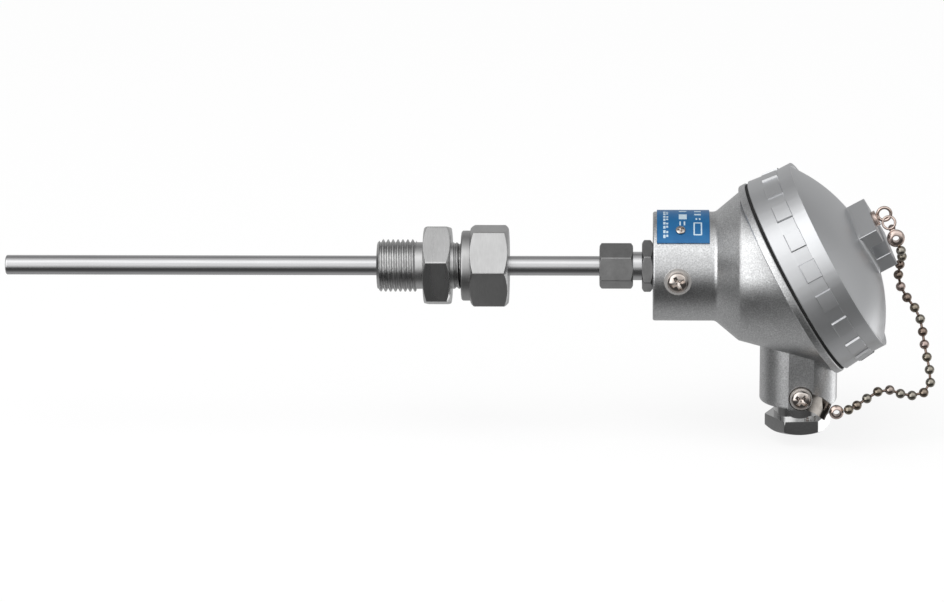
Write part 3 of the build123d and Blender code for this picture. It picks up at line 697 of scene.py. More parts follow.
SHELL_PLATE = Finish(
    "shell_plate", (0.66, 0.55, 0.50), (0.45, 0.34, 0.29), roughness=0.17,
    scale=2200, relief=0.000008, drift=0.6, drift_scale=700,
)
LUG_STEEL = Finish(
    "lug_steel", (0.22, 0.205, 0.19), (0.12, 0.11, 0.10), roughness=0.09, spread=0.12,
    scale=2200, relief=0.00001, drift=0.6, drift_scale=400,
)
BLACK_RUBBER = Finish(
    "black_rubber", (0.006, 0.006, 0.006), (0.012, 0.012, 0.012), metallic=0, roughness=0.85,
    scale=1800, relief=0.00001,
)
BRASS = Finish(
    "brass_bar", (0.72, 0.53, 0.22), (0.6, 0.42, 0.16), roughness=0.28, scale=2000, relief=0.000006,
)
PALE_CERAMIC = Finish(
    "pale_ceramic", (0.80, 0.78, 0.72), (0.72, 0.69, 0.62), metallic=0, roughness=0.55,
    scale=1500, relief=0.00001,
)


@dataclass(frozen=True)
class ChainFinish(Coat):
    """Worn plating whose tone differs from bead to bead, by the attribute tone.

    Attributes:
        name: The material's name.
        tones: Place in the range and colour of each tone.
    """

    name: str = "worn_chain"
    tones: tuple[tuple[float, Colour], ...] = (
        (0.0, (0.24, 0.18, 0.15)), (0.4, (0.28, 0.25, 0.20)),
        (0.75, (0.32, 0.30, 0.26)), (1.0, (0.46, 0.36, 0.33)),
    )

    def shader_inputs(self, tree: Tree, place: Socket) -> dict[str, Value]:
        """What the shader gets: the bead's tone and an uneven gloss.

        Args:
            tree: The material's tree.
            place: Object coordinates.

        Returns:
            An output or a constant for each input that it sets.
        """
        tone = add_node(tree, "ShaderNodeAttribute", attribute_name="tone").outputs["Fac"]
        inputs = {"Vector": place, "Scale": 3000, "Roughness": 0.18, "Spread": 0.16}
        return {
            "Base Color": ramp(tree, self.tones, tone),
            "Roughness": place_group(tree, Effect.GRAIN, inputs)["Roughness"],
            "Metallic": 1.0,
        }


@dataclass(frozen=True)
class LabelFinish(Coat):
    """Blue foil with a plain frame and generic pale fields.

    Attributes:
        name: The material's name.
        start: Where the label starts on the axis, in millimetres.
        length: Its length along the axis.
        radius: Radius of its outer face, at which its arc lengths are measured.
        thickness: Its thickness.
        low: Its lower edge, in degrees up from the front.
        high: Its upper edge.
        blue: Colour of the foil, and the one it drifts to.
        pale: Colour of the fields.
        signs: How many pairs of small fields stand in the two columns.
    """

    name: str = "label_foil"
    start: float = 79.25
    length: float = 15.9
    radius: float = 17.12
    thickness: float = 0.5
    low: float = 40.5
    high: float = 139.5
    blue: tuple[Colour, Colour] = ((0.006, 0.092, 0.24), (0.011, 0.125, 0.29))
    pale: Colour = (0.45, 0.55, 0.62)
    signs: int = 8

    def patches(self) -> list[tuple[float, float, float, float]]:
        """Centre u, centre v, half u and half v of each pale field, in millimetres."""
        fields = [(7.8, 11.0, 1.2, 1.55), (7.0, 7.4, 0.22, 0.9), (8.3, 7.4, 0.22, 0.9)]
        fields += [(7.8, 15.4, 1.1, 0.5), (12.3, 12.4, 1.0, 0.5), (12.3, 15.2, 1.0, 0.5)]
        fields += [(12.3, 2.8, 1.2, 0.22), (12.3, 7.6, 1.2, 0.22), (11.2, 5.2, 0.2, 2.5)]
        fields += [(13.4, 5.2, 0.2, 2.5), (11.9, 9.6, 0.25, 0.5), (12.9, 9.6, 0.25, 0.5)]
        for row in range(self.signs):
            v = 2.2 + 1.75 * row
            fields += [(2.25, v, 0.35, 0.58), (3.1, v + (0.2, -0.15)[row % 2], 0.3, 0.4)]
        return fields

    def shader_inputs(self, tree: Tree, place: Socket) -> dict[str, Value]:
        """What the shader gets: the foil's blue with the pale fields over it.

        Args:
            tree: The material's tree.
            place: Object coordinates.

        Returns:
            An output or a constant for each input that it sets.
        """
        x, _, _, angle = around_x(tree, place)
        u = math_node(tree, "MULTIPLY_ADD", x, 1 / MM, -self.start)
        below = -math.radians(self.low) * self.radius
        v = math_node(tree, "MULTIPLY_ADD", angle, self.radius, below)
        mask = None
        for patch in self.patches():
            sizes = dict(zip(("Centre U", "Centre V", "Half U", "Half V"), patch))
            spot = place_group(tree, Effect.PATCH, {"U": u, "V": v, **sizes})["Mask"]
            mask = math_node(tree, "MAXIMUM", mask, spot) if mask else spot
        drift_inputs = {"Vector": place, "Scale": 300, "Colour": self.blue[0], "Other": self.blue[1]}
        foil = place_group(tree, Effect.DRIFT, drift_inputs)["Colour"]
        grain_inputs = {"Vector": place, "Scale": 1400, "Roughness": 0.38, "Spread": 0.08}
        return {
            "Base Color": mix_colours(tree, mask, foil, self.pale),
            "Roughness": place_group(tree, Effect.GRAIN, grain_inputs)["Roughness"],
            "Metallic": 0.25,
        }


# Pieces


def paint(piece: Piece, finish: Coat) -> Piece:
    """Gives a piece one material, on every face."""
    piece.data.materials.clear()
    piece.data.materials.append(finish.material())
    piece.data.polygons.foreach_set("material_index", [0] * len(piece.data.polygons))
    return piece


def make(name: str, bm: BMesh, finish: Coat, body: str, node: str, sharp: float = 32.0) -> Piece:
    """Makes a painted piece that rides on a body and stands for a CAD node.

    Args:
        name: The piece's name.
        bm: Its mesh in millimetres, which is freed.
        finish: Its finish.
        body: The body it rides on.
        node: The CAD node it stands for.
        sharp: Edges steeper than this many degrees stay crisp.

    Returns:
        The piece.
    """
    piece = paint(finish_mesh(name, bm, sharp), finish)
    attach(piece, body)
    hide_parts(node)
    log.info("%s rides on %s", name, body)
    return piece


# Axes that the sub-assemblies share, in millimetres
ROD = Lathe(Vector((0, 0, 0)), Vector((0, 1, 0)), Vector((0, 0, 1)))
TILT = math.radians(29.0)
LEAN = Vector((math.sin(TILT), 0, -math.cos(TILT)))
CAP = Lathe(Vector((121.25, 0, -3.15)), Vector((0, -1, 0)), LEAN)
HEAD = Lathe(Vector((0, 0, 0)), Vector((0, -1, 0)), Vector((0, 0, -1)))
GLAND = Lathe(Vector((122.75, 0, 0)), Vector((1, 0, 0)), Vector((0, 1, 0)))

# What the rod passes through, and what the head shares with its label and screws
ROD_HOLE = 3.1
NECK_R = 16.6
LABEL = LabelFinish()


@dataclass
class Rod:
    """The sheath with its closed tip, and the small nut and connector at the head."""

    radius: float = 3.0
    bore: float = 2.0
    tip: float = -120.2
    tip_wall: float = 2.5
    tip_edge: float = 0.5
    end: float = 92.95
    nut: HexBar = HexBar(61.85, 72.05, 12.3, 23.7, ROD_HOLE)
    stub_start: float = 67.45
    stub_r: float = 4.35
    stub_hole: float = 3.2
    flats: HexBar = HexBar(74.75, 78.05, 14.0, 23.9, ROD_HOLE)
    spigot_end: float = 92.05
    spigot_r: float = 6.0

    def sheath(self) -> BMesh:
        """The tube, closed at its tip with a rounded edge."""
        steps, inner = 5, self.tip + self.tip_wall
        at, corner = self.tip + self.tip_edge, self.radius - self.tip_edge
        outer = [(self.tip, 0.0), (self.tip, corner)]
        for i in range(1, steps + 1):
            a = math.radians(90 / steps * i)
            outer.append((at - self.tip_edge * math.cos(a), corner + self.tip_edge * math.sin(a)))
        outer += [(self.end, self.radius), (self.end, self.bore), (inner, self.bore), (inner, 0.0)]
        bm = bmesh.new()
        turn(bm, ROD, outer, even(96), closed=False)
        return bm

    def connector(self) -> BMesh:
        """The stub, the thin hexagon and the spigot inside the head."""
        bm = bmesh.new()
        stub = tube(self.stub_start, self.flats.start, self.stub_hole, self.stub_r)
        turn(bm, ROD, stub, even(72))
        self.flats.add(bm, ROD)
        turn(bm, ROD, tube(self.flats.end, self.spigot_end, ROD_HOLE, self.spigot_r), even(48))
        return bm

    def build(self) -> None:
        """Builds and seats the pieces; the stub's outside is bright like the sheath."""
        make("sheath_tube", self.sheath(), DRAWN_SHEATH, "probe", "sheath")
        bm = bmesh.new()
        self.nut.add(bm, ROD)
        make("clamp_nut", bm, DULL_STEEL, "probe", "small_nut")
        made = make("connector", self.connector(), DULL_STEEL, "probe", "head_connector")
        made.data.materials.append(DRAWN_SHEATH.material())
        for face in made.data.polygons:
            reach = math.hypot(face.center.y, face.center.z)
            if face.center.x < self.flats.start * MM and reach > 0.9 * self.stub_r * MM:
                face.material_index = 1


@dataclass
class ProcessFitting:
    """The screwed-in body with its thread and hexagon, and the nut on it."""

    thread_r: float = 8.0
    root_r: float = 7.08
    pitch: float = 1.5
    half_length: float = 5.9
    crest: float = 0.06
    flank: float = 2.75
    softness: float = 0.35
    end_r: float = 6.9
    undercut_r: float = 7.15
    overlap: float = 0.2
    flats: HexBar = HexBar(8.3, 16.7, 23.0, 40.0, ROD_HOLE)
    neck_r: float = 7.1
    neck_end: float = 27.7
    neck_depth: float = 0.55
    neck_flank: float = 2.4
    neck_plain: float = 0.7
    seat_r: float = 4.9
    seat_depth: float = 4.5
    nut: HexBar = HexBar(22.55, 34.15, 23.0, 54.0, 3.15)
    skirt_start: float = 19.8
    skirt_r: float = 10.7
    skirt_hole: float = 7.2
    skirt_edge: float = 0.4

    def phase(self, x: float, angle: float) -> float:
        """Place on one turn of the thread, from -0.5 to 0.5."""
        return ((x / self.pitch - angle / TAU) % 1.0) - 0.5

    def thread_radius(self, x: float, angle: float) -> float:
        """Radius of the thread's surface, with flat crests, rounded roots and a start chamfer.

        Args:
            x: Where on the axis.
            angle: The angle about it, in radians.

        Returns:
            The radius.
        """
        rise = (abs(self.phase(x, angle)) - self.crest) * self.flank
        tooth = min(1.0, max(0.0, rise))
        soft = tooth * tooth * (3 - 2 * tooth)
        tooth = soft * self.softness + tooth * (1 - self.softness)
        cut = self.root_r + (self.thread_r - self.root_r) * tooth
        return min(cut, self.thread_r - 1.0 + (x + self.half_length))

    def thread_section(self, angle: float) -> Profile:
        """The threaded end's section at an angle.

        Args:
            angle: The angle about the axis, in radians.

        Returns:
            Points of (along, radius).
        """
        steps, end = 236, self.flats.start + self.overlap
        made = [(-self.half_length, ROD_HOLE), (-self.half_length, self.end_r)]
        for i in range(steps + 1):
            x = -self.half_length + 2 * self.half_length * i / steps
            made.append((x, self.thread_radius(x, angle)))
        return made + [(self.half_length, self.undercut_r), (end, self.undercut_r), (end, ROD_HOLE)]

    def neck_section(self, angle: float) -> Profile:
        """The neck's section at an angle, with its fine thread.

        Args:
            angle: The angle about the axis, in radians.

        Returns:
            Points of (along, radius).
        """
        steps, start = 110, self.flats.end
        made = [(start, ROD_HOLE)]
        for i in range(steps + 1):
            x = start + (self.neck_end - start) * i / steps
            cut = self.neck_depth * max(0.0, 1 - self.neck_flank * abs(self.phase(x, angle)))
            fade = min(1.0, max(0.0, (x - start - self.neck_plain) * 2))
            made.append((x, self.neck_r - cut * fade))
        return made + [(self.neck_end, self.seat_r), (self.neck_end - self.seat_depth, ROD_HOLE)]

    def build(self) -> None:
        """Builds and seats both pieces."""
        bm = bmesh.new()
        turn(bm, ROD, self.thread_section, even(120))
        self.flats.add(bm, ROD)
        turn(bm, ROD, self.neck_section, even(96))
        make("threaded_body", bm, TURNED_STEEL, "fitting", "fitting_body", 24)
        bm = bmesh.new()
        start, end, edge = self.skirt_start, self.nut.start + 0.1, self.skirt_edge
        skirt = [(start, self.skirt_hole), (start, self.skirt_r - edge)]
        skirt += [(start + edge, self.skirt_r), (end, self.skirt_r), (end, self.skirt_hole)]
        turn(bm, ROD, rounded(skirt, 0.2, 2), even(120))
        self.nut.add(bm, ROD)
        make("big_nut", bm, NUT_STEEL, "nut", "fitting_nut", 24)


@dataclass
class Head:
    """The cast head with its cable boss, and its label."""

    start: float = 78.05
    hole: float = 6.1
    face_r: float = 15.0
    face_edge: float = 1.6
    cone_start: float = 97.0
    cone_r: float = 22.2
    cone_edge: float = 0.8
    bowl_start: float = 104.3
    bowl_r: float = 22.6
    rim_r: float = 29.5
    flange_r: float = 32.1
    flange: float = 2.3
    collar: float = 8.0
    collar_r: float = 28.6
    collar_bore: float = 25.8
    inside: Pairs = (
        (107.25, 20.0), (104.8, 19.0), (97.0, 13.0), (92.05, 11.0), (92.05, 6.1),
    )
    boss_r: float = 11.85
    boss_bottom: float = -42.2
    boss_top: float = -21.5
    boss_bore: float = 7.5
    boss_step: float = -31.0
    boss_hole: float = 5.5
    boss_sink: float = 1.15
    boss_edge: float = 0.5
    pad_x: float = 0.4
    pad_half: float = 3.8
    pad_face: float = 12.4

    def rings(self, lathe: Lathe, profile: Sequence[tuple[float, float]]) -> list[list[Vector]]:
        """A ring about an axis for each point of a profile."""
        return [[lathe.point(along, radius, a) for a in even(144)] for along, radius in profile]

    def casting(self) -> BMesh:
        """The casting: neck, cone, bowl, flange and collar, open inside, with the cable boss."""
        foot = [(self.start, self.face_r), (self.start, NECK_R), (self.start + 3, NECK_R)]
        cone = [(self.start + 3.2, NECK_R), (self.cone_start, NECK_R), (self.bowl_start - 0.6, self.cone_r)]
        outside = [(self.start, self.hole), *rounded(foot, self.face_edge, 6)]
        outside += rounded(cone, self.cone_edge, 4)
        rings = self.rings(HEAD, outside)
        (low,) = self.rings(HEAD, [(self.bowl_start, self.bowl_r)])
        (high,) = self.rings(CAP, [(-self.flange, self.rim_r)])
        steps = 12
        for i in range(steps + 1):
            rings.append([a.lerp(b, i / steps) for a, b in zip(low, high)])
        rim = tube(-self.flange, 0.0, self.rim_r, self.flange_r)[:3] + [(0.0, 30.0)]
        collar = [(0.0, self.collar_r), (self.collar, self.collar_r)]
        collar += [(self.collar, self.collar_bore), (0.0, self.collar_bore)]
        rings += self.rings(CAP, rounded(rim, 0.5, 3) + collar)
        rings += self.rings(HEAD, self.inside)
        bm = bmesh.new()
        add_rings(bm, rings, closed=True)
        edges = []
        for x in (self.pad_x - self.pad_half, self.pad_x + self.pad_half):
            base = math.atan2(-self.pad_face, x)
            edges += [base - 0.004, base, base + 0.004]
        turn(bm, GLAND, self.boss_section, sorted(set(even(96)) | {a % TAU for a in edges}))
        return bm

    def boss_section(self, angle: float) -> Profile:
        """The cable boss's section: round, with a flat pad on its front, up to the flange.

        Args:
            angle: The angle about the axis, in radians.

        Returns:
            Points of (along, radius).
        """
        c, s = math.cos(angle), math.sin(angle)
        out, low = self.boss_r, self.boss_bottom
        if s < 0:
            reach = -self.pad_face / s
            if abs(reach * c - self.pad_x) <= self.pad_half + 1e-6:
                out = max(out, reach)
        x = GLAND.origin.x - CAP.origin.x + out * c
        top = CAP.origin.z - (self.boss_sink + math.cos(TILT) * x) / math.sin(TILT)
        top = min(top, self.boss_top)
        edge, bend = self.boss_edge, 0.3 * self.boss_edge
        made = [(low, self.boss_bore), (low, out - edge), (low + bend, out - bend), (low + edge, out)]
        made += [(top, out), (top, self.boss_hole)]
        return made + [(self.boss_step, self.boss_hole), (self.boss_step, self.boss_bore)]

    def label(self) -> BMesh:
        """The label plate, bent round the top of the neck."""
        steps, edge = 48, 0.12
        r_in, r_out = LABEL.radius - LABEL.thickness, LABEL.radius
        x0, x1 = LABEL.start, LABEL.start + LABEL.length
        section = [(x0, r_in), (x0, r_out - edge), (x0 + edge, r_out)]
        section += [(x1 - edge, r_out), (x1, r_out - edge), (x1, r_in)]
        rows = []
        for i in range(steps + 1):
            a = math.radians(LABEL.low + (LABEL.high - LABEL.low) * i / steps)
            spoke = Vector((0, -math.cos(a), math.sin(a)))
            rows.append([Vector((x, 0, 0)) + spoke * r for x, r in section])
        bm = bmesh.new()
        add_rings(bm, rows, closed=False)
        return bm

    def build(self) -> None:
        """Builds and seats the pieces."""
        make("cast_head", self.casting(), BLASTED_ALLOY, "probe", "head_body")
        make("foil_label", self.label(), LABEL, "probe", "label_plate")


@dataclass
class Cap:
    """The screwed cap: rim with lugs, dome and slotted boss, on its gasket."""

    foot: float = 0.9
    top: float = 14.95
    foot_r: float = 32.1
    draft: float = 1.5
    band: float = 4.4
    lug_height: float = 9.3
    proud: float = 0.6
    lugs: int = 19
    lug_width: float = 5.5
    lug_turn: float = 4.75
    lug_r: float = 31.2
    flank: float = 0.009
    dome_foot: tuple[float, float] = (0.4, 1.4)
    dome_middle: tuple[float, float] = (19.97, 21.13)
    dome_shoulder: tuple[float, float] = (23.4, 11.5)
    dome_top: float = 23.8
    flat_r: float = 6.0
    inside: Pairs = (
        (9.5, 28.9), (10.9, 27.4), (12.35, 27.4), (17.0, 19.9), (20.8, 9.5), (20.8, 0.0),
    )
    boss_side: float = 16.0
    boss_turn: float = 24.5
    boss_foot: float = 21.5
    boss_top: float = 29.5
    boss_edge: float = 0.4
    slot_width: float = 5.0
    slot_depth: float = 4.9
    foot_height: float = 1.6
    seal_bore: float = 28.8
    seal_r: float = 31.6

    @property
    def step(self) -> float:
        """Angle from one lug to the next."""
        return TAU / self.lugs

    @property
    def half(self) -> float:
        """Half the angle of a lug's face."""
        return self.lug_width / 2 / self.lug_r

    def ground(self, along: float) -> float:
        """Radius of the rim between its lugs."""
        return self.foot_r - self.draft * (along - self.foot) / (self.top - self.foot)

    def angles(self) -> list[float]:
        """Columns that include both flanks of every lug."""
        wide = self.half + self.flank
        offsets = [share * self.half for share in (-1, -0.97, -0.8, -0.4, 0, 0.4, 0.8, 0.97, 1)]
        gaps = (0, 0.03, 0.3, 0.5, 0.7, 0.97, 1)
        offsets += [wide + (self.step - 2 * wide) * t for t in gaps]
        centres = [math.radians(self.lug_turn) + self.step * i for i in range(self.lugs)]
        return [centre + o for centre in centres for o in offsets]

    def on_lug(self, angle: float) -> float:
        """One on a lug, zero between lugs, with a short flank."""
        turned = angle - math.radians(self.lug_turn) + self.step / 2
        away = abs(turned % self.step - self.step / 2)
        return min(1.0, max(0.0, (self.half + self.flank - away) / self.flank))

    def dome(self, rim: float) -> Profile:
        """The dome from its pole to the rim, a parabola close to a circle on so flat a dome.

        Args:
            rim: Radius of the rim.

        Returns:
            Points of (along, radius).
        """
        steps, (drop, inset) = 12, self.dome_foot
        start, middle = Vector(self.dome_shoulder), Vector(self.dome_middle)
        end = Vector((self.top - drop, rim - inset))
        made = [(self.dome_top, 0.0), (self.dome_top, self.flat_r)]
        for i in range(steps + 1):
            t = i / steps
            lift = (middle - start.lerp(end, 0.5)) * (4 * t * (1 - t))
            made.append(tuple(start.lerp(end, t) + lift))
        return made

    def section(self, angle: float) -> Profile:
        """The cap's section at an angle, from the outside's pole to the inside's.

        Args:
            angle: The angle about the axis, in radians.

        Returns:
            Points of (along, radius).
        """
        lug = self.on_lug(angle) * self.proud
        low, band = self.top - self.lug_height, self.top - self.band
        rim = self.ground(self.top) + self.proud
        drop, inset = self.dome_foot
        lip = [(self.top - drop, rim - inset), (self.top, rim - 0.95), (self.top, rim)]
        made = self.dome(rim) + rounded([*lip, (band + 0.15, rim)], 0.3, 3)
        made += [
            (band, self.ground(band) + max(lug, 0.06)),
            (band - 0.12, self.ground(band) + lug),
            (low + 0.3, self.ground(low) + lug),
            (low + 0.12, self.ground(low) + lug * 0.85),
            (low, self.ground(low)),
            (self.foot + 0.25, self.ground(self.foot)),
            (self.foot, self.foot_r - 0.25),
            (self.foot, self.inside[0][1]),
        ]
        return made + list(self.inside)

    def boss(self) -> BMesh:
        """The square boss with its slot, its edges bevelled."""
        half, gap, top = self.boss_side / 2, self.slot_width / 2, self.boss_top
        floor, foot = top - self.slot_depth, self.boss_foot
        outline = [(-half, foot), (half, foot), (half, top), (gap, top)]
        outline += [(gap, floor), (-gap, floor), (-gap, top), (-half, top)]
        c, s = math.cos(math.radians(self.boss_turn)), math.sin(math.radians(self.boss_turn))
        rows = [
            [CAP.place(along * c - across * s, along * s + across * c, d) for across, d in outline]
            for along in (-half, half)
        ]
        part = bmesh.new()
        add_rings(part, rows, closed=False)
        bmesh.ops.recalc_face_normals(part, faces=part.faces)
        bmesh.ops.bevel(
            part, geom=part.edges[:], offset=self.boss_edge, segments=3, affect="EDGES", profile=0.6
        )
        return part

    def foot_section(self, angle: float) -> Profile:
        """The soft metal round the boss's foot, at an angle: a square with round corners.

        Args:
            angle: The angle about the axis, in radians.

        Returns:
            Points of (along, radius).
        """
        low, high = self.dome_top - self.foot_height, self.dome_top + 0.9
        local, square, steps = angle - math.radians(self.boss_turn), 9, 8
        c, s = abs(math.cos(local)), abs(math.sin(local))
        made = [(low - 1, 1.0)]
        for i in range(steps + 1):
            t = i / steps
            grow = (self.foot_height + 0.5) * (1 - t) ** 1.7
            size = self.boss_side / 2 + grow - 0.02
            made.append((low + (high - low) * t, size / (c**square + s**square) ** (1 / square)))
        return made + [(high, 1.0)]

    def build(self) -> None:
        """Builds and seats the pieces."""
        bm = bmesh.new()
        turn(bm, CAP, self.section, self.angles(), closed=False)
        pour(self.boss(), bm)
        turn(bm, CAP, self.foot_section, even(160))
        make("screw_cap", bm, CAP_ALLOY, "cap", "head_cap", 28)
        bm = bmesh.new()
        turn(bm, CAP, tube(0.0, self.foot, self.seal_bore, self.seal_r), even(144))
        make("cap_seal", bm, BLACK_RUBBER, "gasket", "cap_gasket")


@dataclass
class Gland:
    """The nut that closes the cable entry."""

    flats: HexBar = HexBar(-51.3, -46.9, 17.8, 5.0, 4.5, (True, False))
    top: float = -37.7
    radius: float = 7.4

    def build(self) -> None:
        """Builds and seats the nut."""
        bm = bmesh.new()
        self.flats.add(bm, GLAND)
        body = tube(self.flats.end - 0.1, self.top, self.flats.bore, self.radius)
        turn(bm, GLAND, rounded(body, 0.2, 2), even(96))
        make("entry_nut", bm, BRIGHT_NUT, "gland", "gland_nut", 24)


@dataclass
class BallChain:
    """The ball chain from the lug to the cap, made by Geometry Nodes on the CAD beads' centres."""

    bead_r: float = 1.5
    link_r: float = 0.42
    seed: int = 7
    finish: ChainFinish = field(default_factory=ChainFinish)

    def tree(self) -> Tree:
        """Beads on the points and thin links on the edges between them."""
        kinds = {"Geometry": "Geometry", "Bead Radius": "Float", "Link Radius": "Float", "Seed": "Int"}
        tree, given = open_group("bead_chain", "GeometryNodeTree", kinds)
        sizes = {"Segments": 28, "Rings": 18, "Radius": given["Bead Radius"]}
        ball = add_node(tree, "GeometryNodeMeshUVSphere", sizes).outputs["Mesh"]
        way = add_node(
            tree, "GeometryNodeInputNamedAttribute", {"Name": "way"}, data_type="FLOAT_VECTOR"
        )
        facing = {"Vector": way.outputs["Attribute"]}
        align = add_node(tree, "FunctionNodeAlignRotationToVector", facing, axis="Z")
        set_on = {"Points": given["Geometry"], "Instance": ball, "Rotation": align.outputs["Rotation"]}
        beads = add_node(tree, "GeometryNodeInstanceOnPoints", set_on).outputs["Instances"]
        tone = add_node(tree, "FunctionNodeRandomValue", {"Seed": given["Seed"]}, data_type="FLOAT")
        shade = next(s for s in tone.outputs if s.type == "VALUE" and s.enabled)
        kept = {"Geometry": beads, "Name": "tone", "Value": shade}
        toned = add_node(tree, "GeometryNodeStoreNamedAttribute", kept, domain="INSTANCE")
        line = add_node(tree, "GeometryNodeMeshToCurve", {"Mesh": given["Geometry"]})
        round_inputs = {"Resolution": 12, "Radius": given["Link Radius"]}
        wire = add_node(tree, "GeometryNodeCurvePrimitiveCircle", round_inputs).outputs["Curve"]
        swept = {"Curve": line.outputs["Curve"], "Profile Curve": wire, "Fill Caps": True}
        links = add_node(tree, "GeometryNodeCurveToMesh", swept)
        join = add_node(tree, "GeometryNodeJoinGeometry", {0: toned.outputs["Geometry"]})
        tree.links.new(links.outputs["Mesh"], join.inputs[0])
        real = add_node(tree, "GeometryNodeRealizeInstances", {0: join.outputs[0]})
        dressed = {"Geometry": real.outputs[0], "Material": self.finish.material()}
        last = add_node(tree, "GeometryNodeSetMaterial", dressed)
        return put_out(tree, {"Geometry": last.outputs[0]})

    def route(self) -> list[Vector]:
        """Bead centres in order from the cap's end to the lug's, in millimetres."""
        left = islands("chain_beads")
        low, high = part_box("chain_top_shell")
        here = (low + high) / 2 / MM
        made = []
        while left:
            here = min(left, key=lambda p: (p - here).length)
            left.remove(here)
            made.append(here)
        return made

    def points(self, centres: list[Vector]) -> bpy.types.Mesh:
        """A line of points at the beads' centres, each with its direction in way.

        Args:
            centres: The centres in order, in millimetres.

        Returns:
            The mesh, in metres.
        """
        mesh = bpy.data.meshes.new("chain_points")
        edges = [(i, i + 1) for i in range(len(centres) - 1)]
        mesh.from_pydata([c * MM for c in centres], edges, [])
        way = mesh.attributes.new("way", "FLOAT_VECTOR", "POINT")
        for i in range(len(centres)):
            before, after = centres[max(0, i - 1)], centres[min(len(centres) - 1, i + 1)]
            way.data[i].vector = (after - before).normalized()
        return mesh

    def build(self) -> None:
        """Builds the chain on the CAD beads' centres and hides the CAD beads and links."""
        centres = self.route()
        holder = link_object("chain_points", self.points(centres))
        grow = holder.modifiers.new("beads", "NODES")
        grow.node_group = self.tree()
        sizes = {"Bead Radius": self.bead_r * MM, "Link Radius": self.link_r * MM, "Seed": self.seed}
        for item in grow.node_group.interface.items_tree:
            if item.in_out == "INPUT" and item.name in sizes:
                grow[item.identifier] = sizes[item.name]
        bpy.context.view_layer.update()
        result = plain_mesh(holder)
        holder.modifiers.remove(grow)
        bpy.data.objects.remove(holder)
        shade_smooth(result)
        chain = link_object("ball_chain", result)
        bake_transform(chain)
        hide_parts("chain_beads", "chain_links")
        log.info("ball_chain bends between probe and gasket")


@dataclass(frozen=True)
class PanScrew:
    """A screw with a domed head and a cross recess.

    Attributes:
        origin: Where its axis meets the face under the head, in millimetres.
        axis: Direction that the head faces.
        head_r: Radius of the head.
        head_h: Height of the head.
        shank_r: Radius of the shank.
        length: Length under the head.
        turned: Angle of the recess, in degrees.
        cross: Half width and half length of the recess's arms, as shares of head_r.
        crown: Share of head_h above which the recess is cut.
        sunk: Depth of the recess, as a share of head_h.
        taper: Width of its floor, as a share of its opening.
    """

    origin: tuple[float, float, float]
    axis: tuple[float, float, float]
    head_r: float
    head_h: float
    shank_r: float
    length: float
    turned: float
    cross: tuple[float, float] = (0.17, 0.68)
    crown: float = 0.45
    sunk: float = 0.9
    taper: float = 0.85

    def lathe(self) -> Lathe:
        """The screw's axis."""
        along = Vector(self.axis).normalized()
        side = Vector((1, 0, 0))
        angle = math.radians(self.turned)
        u = side * math.cos(angle) + along.cross(side) * math.sin(angle)
        return Lathe(Vector(self.origin), u, along.cross(u))

    def profile(self) -> Profile:
        """Half section from the shank's end to the top of the head."""
        r, h, steps = self.head_r, self.head_h, 10
        made = [(-self.length, 0.0), (-self.length, self.shank_r), (0.0, self.shank_r)]
        made += [(0.0, r - 0.1), (0.1, r)]
        for i in range(steps + 1):
            a = math.radians(90 * i / steps)
            made.append((0.3 * h + 0.7 * h * math.sin(a) ** 0.9, r * math.cos(a) ** 0.8))
        return made

    def score(self, part: BMesh, lathe: Lathe, away: Matrix) -> None:
        """Cuts the head's faces along the sides of the recess.

        Args:
            part: The screw's mesh.
            lathe: The screw's axis.
            away: Turns row millimetres into the screw's own.
        """

        def height(face: BMFace) -> float:
            """Height of a face's lowest point over the face under the head."""
            return min((away @ v.co).z for v in face.verts)

        wide, long = (share * self.head_r for share in self.cross)
        for direction in (lathe.u, lathe.w):
            for distance in (-long, -wide, wide, long):
                faces = [f for f in part.faces if height(f) > self.crown * self.head_h]
                edges = dict.fromkeys(e for f in faces for e in f.edges)
                verts = dict.fromkeys(v for f in faces for v in f.verts)
                bmesh.ops.bisect_plane(
                    part,
                    geom=[*faces, *edges, *verts],
                    plane_co=lathe.origin + direction * distance,
                    plane_no=direction,
                )

    def add(self, bm: BMesh) -> None:
        """Adds the screw to a mesh.

        Args:
            bm: The mesh, in millimetres.
        """
        lathe = self.lathe()
        part = bmesh.new()
        turn(part, lathe, self.profile(), even(64), closed=False)
        weld(part)
        away = lathe.matrix().inverted()
        self.score(part, lathe, away)
        wide, long = (share * self.head_r for share in self.cross)
        inside = []
        for face in part.faces:
            at = away @ face.calc_center_median()
            x, y = abs(at.x), abs(at.y)
            if at.z > self.crown * self.head_h and max(x, y) < long and min(x, y) < wide:
                inside.append(face)
        grown = bmesh.ops.extrude_face_region(part, geom=inside)
        for vert in (v for v in grown["geom"] if isinstance(v, BMVert)):
            at = away @ vert.co
            share = 1 - 0.5 * max(abs(at.x), abs(at.y)) / long
            floor = at.z - self.sunk * self.head_h * share
            vert.co = lathe.place(at.x * self.taper, at.y * self.taper, floor)
        bmesh.ops.delete(part, geom=[f for f in inside if f.is_valid], context="FACES_ONLY")
        pour(part, bm)


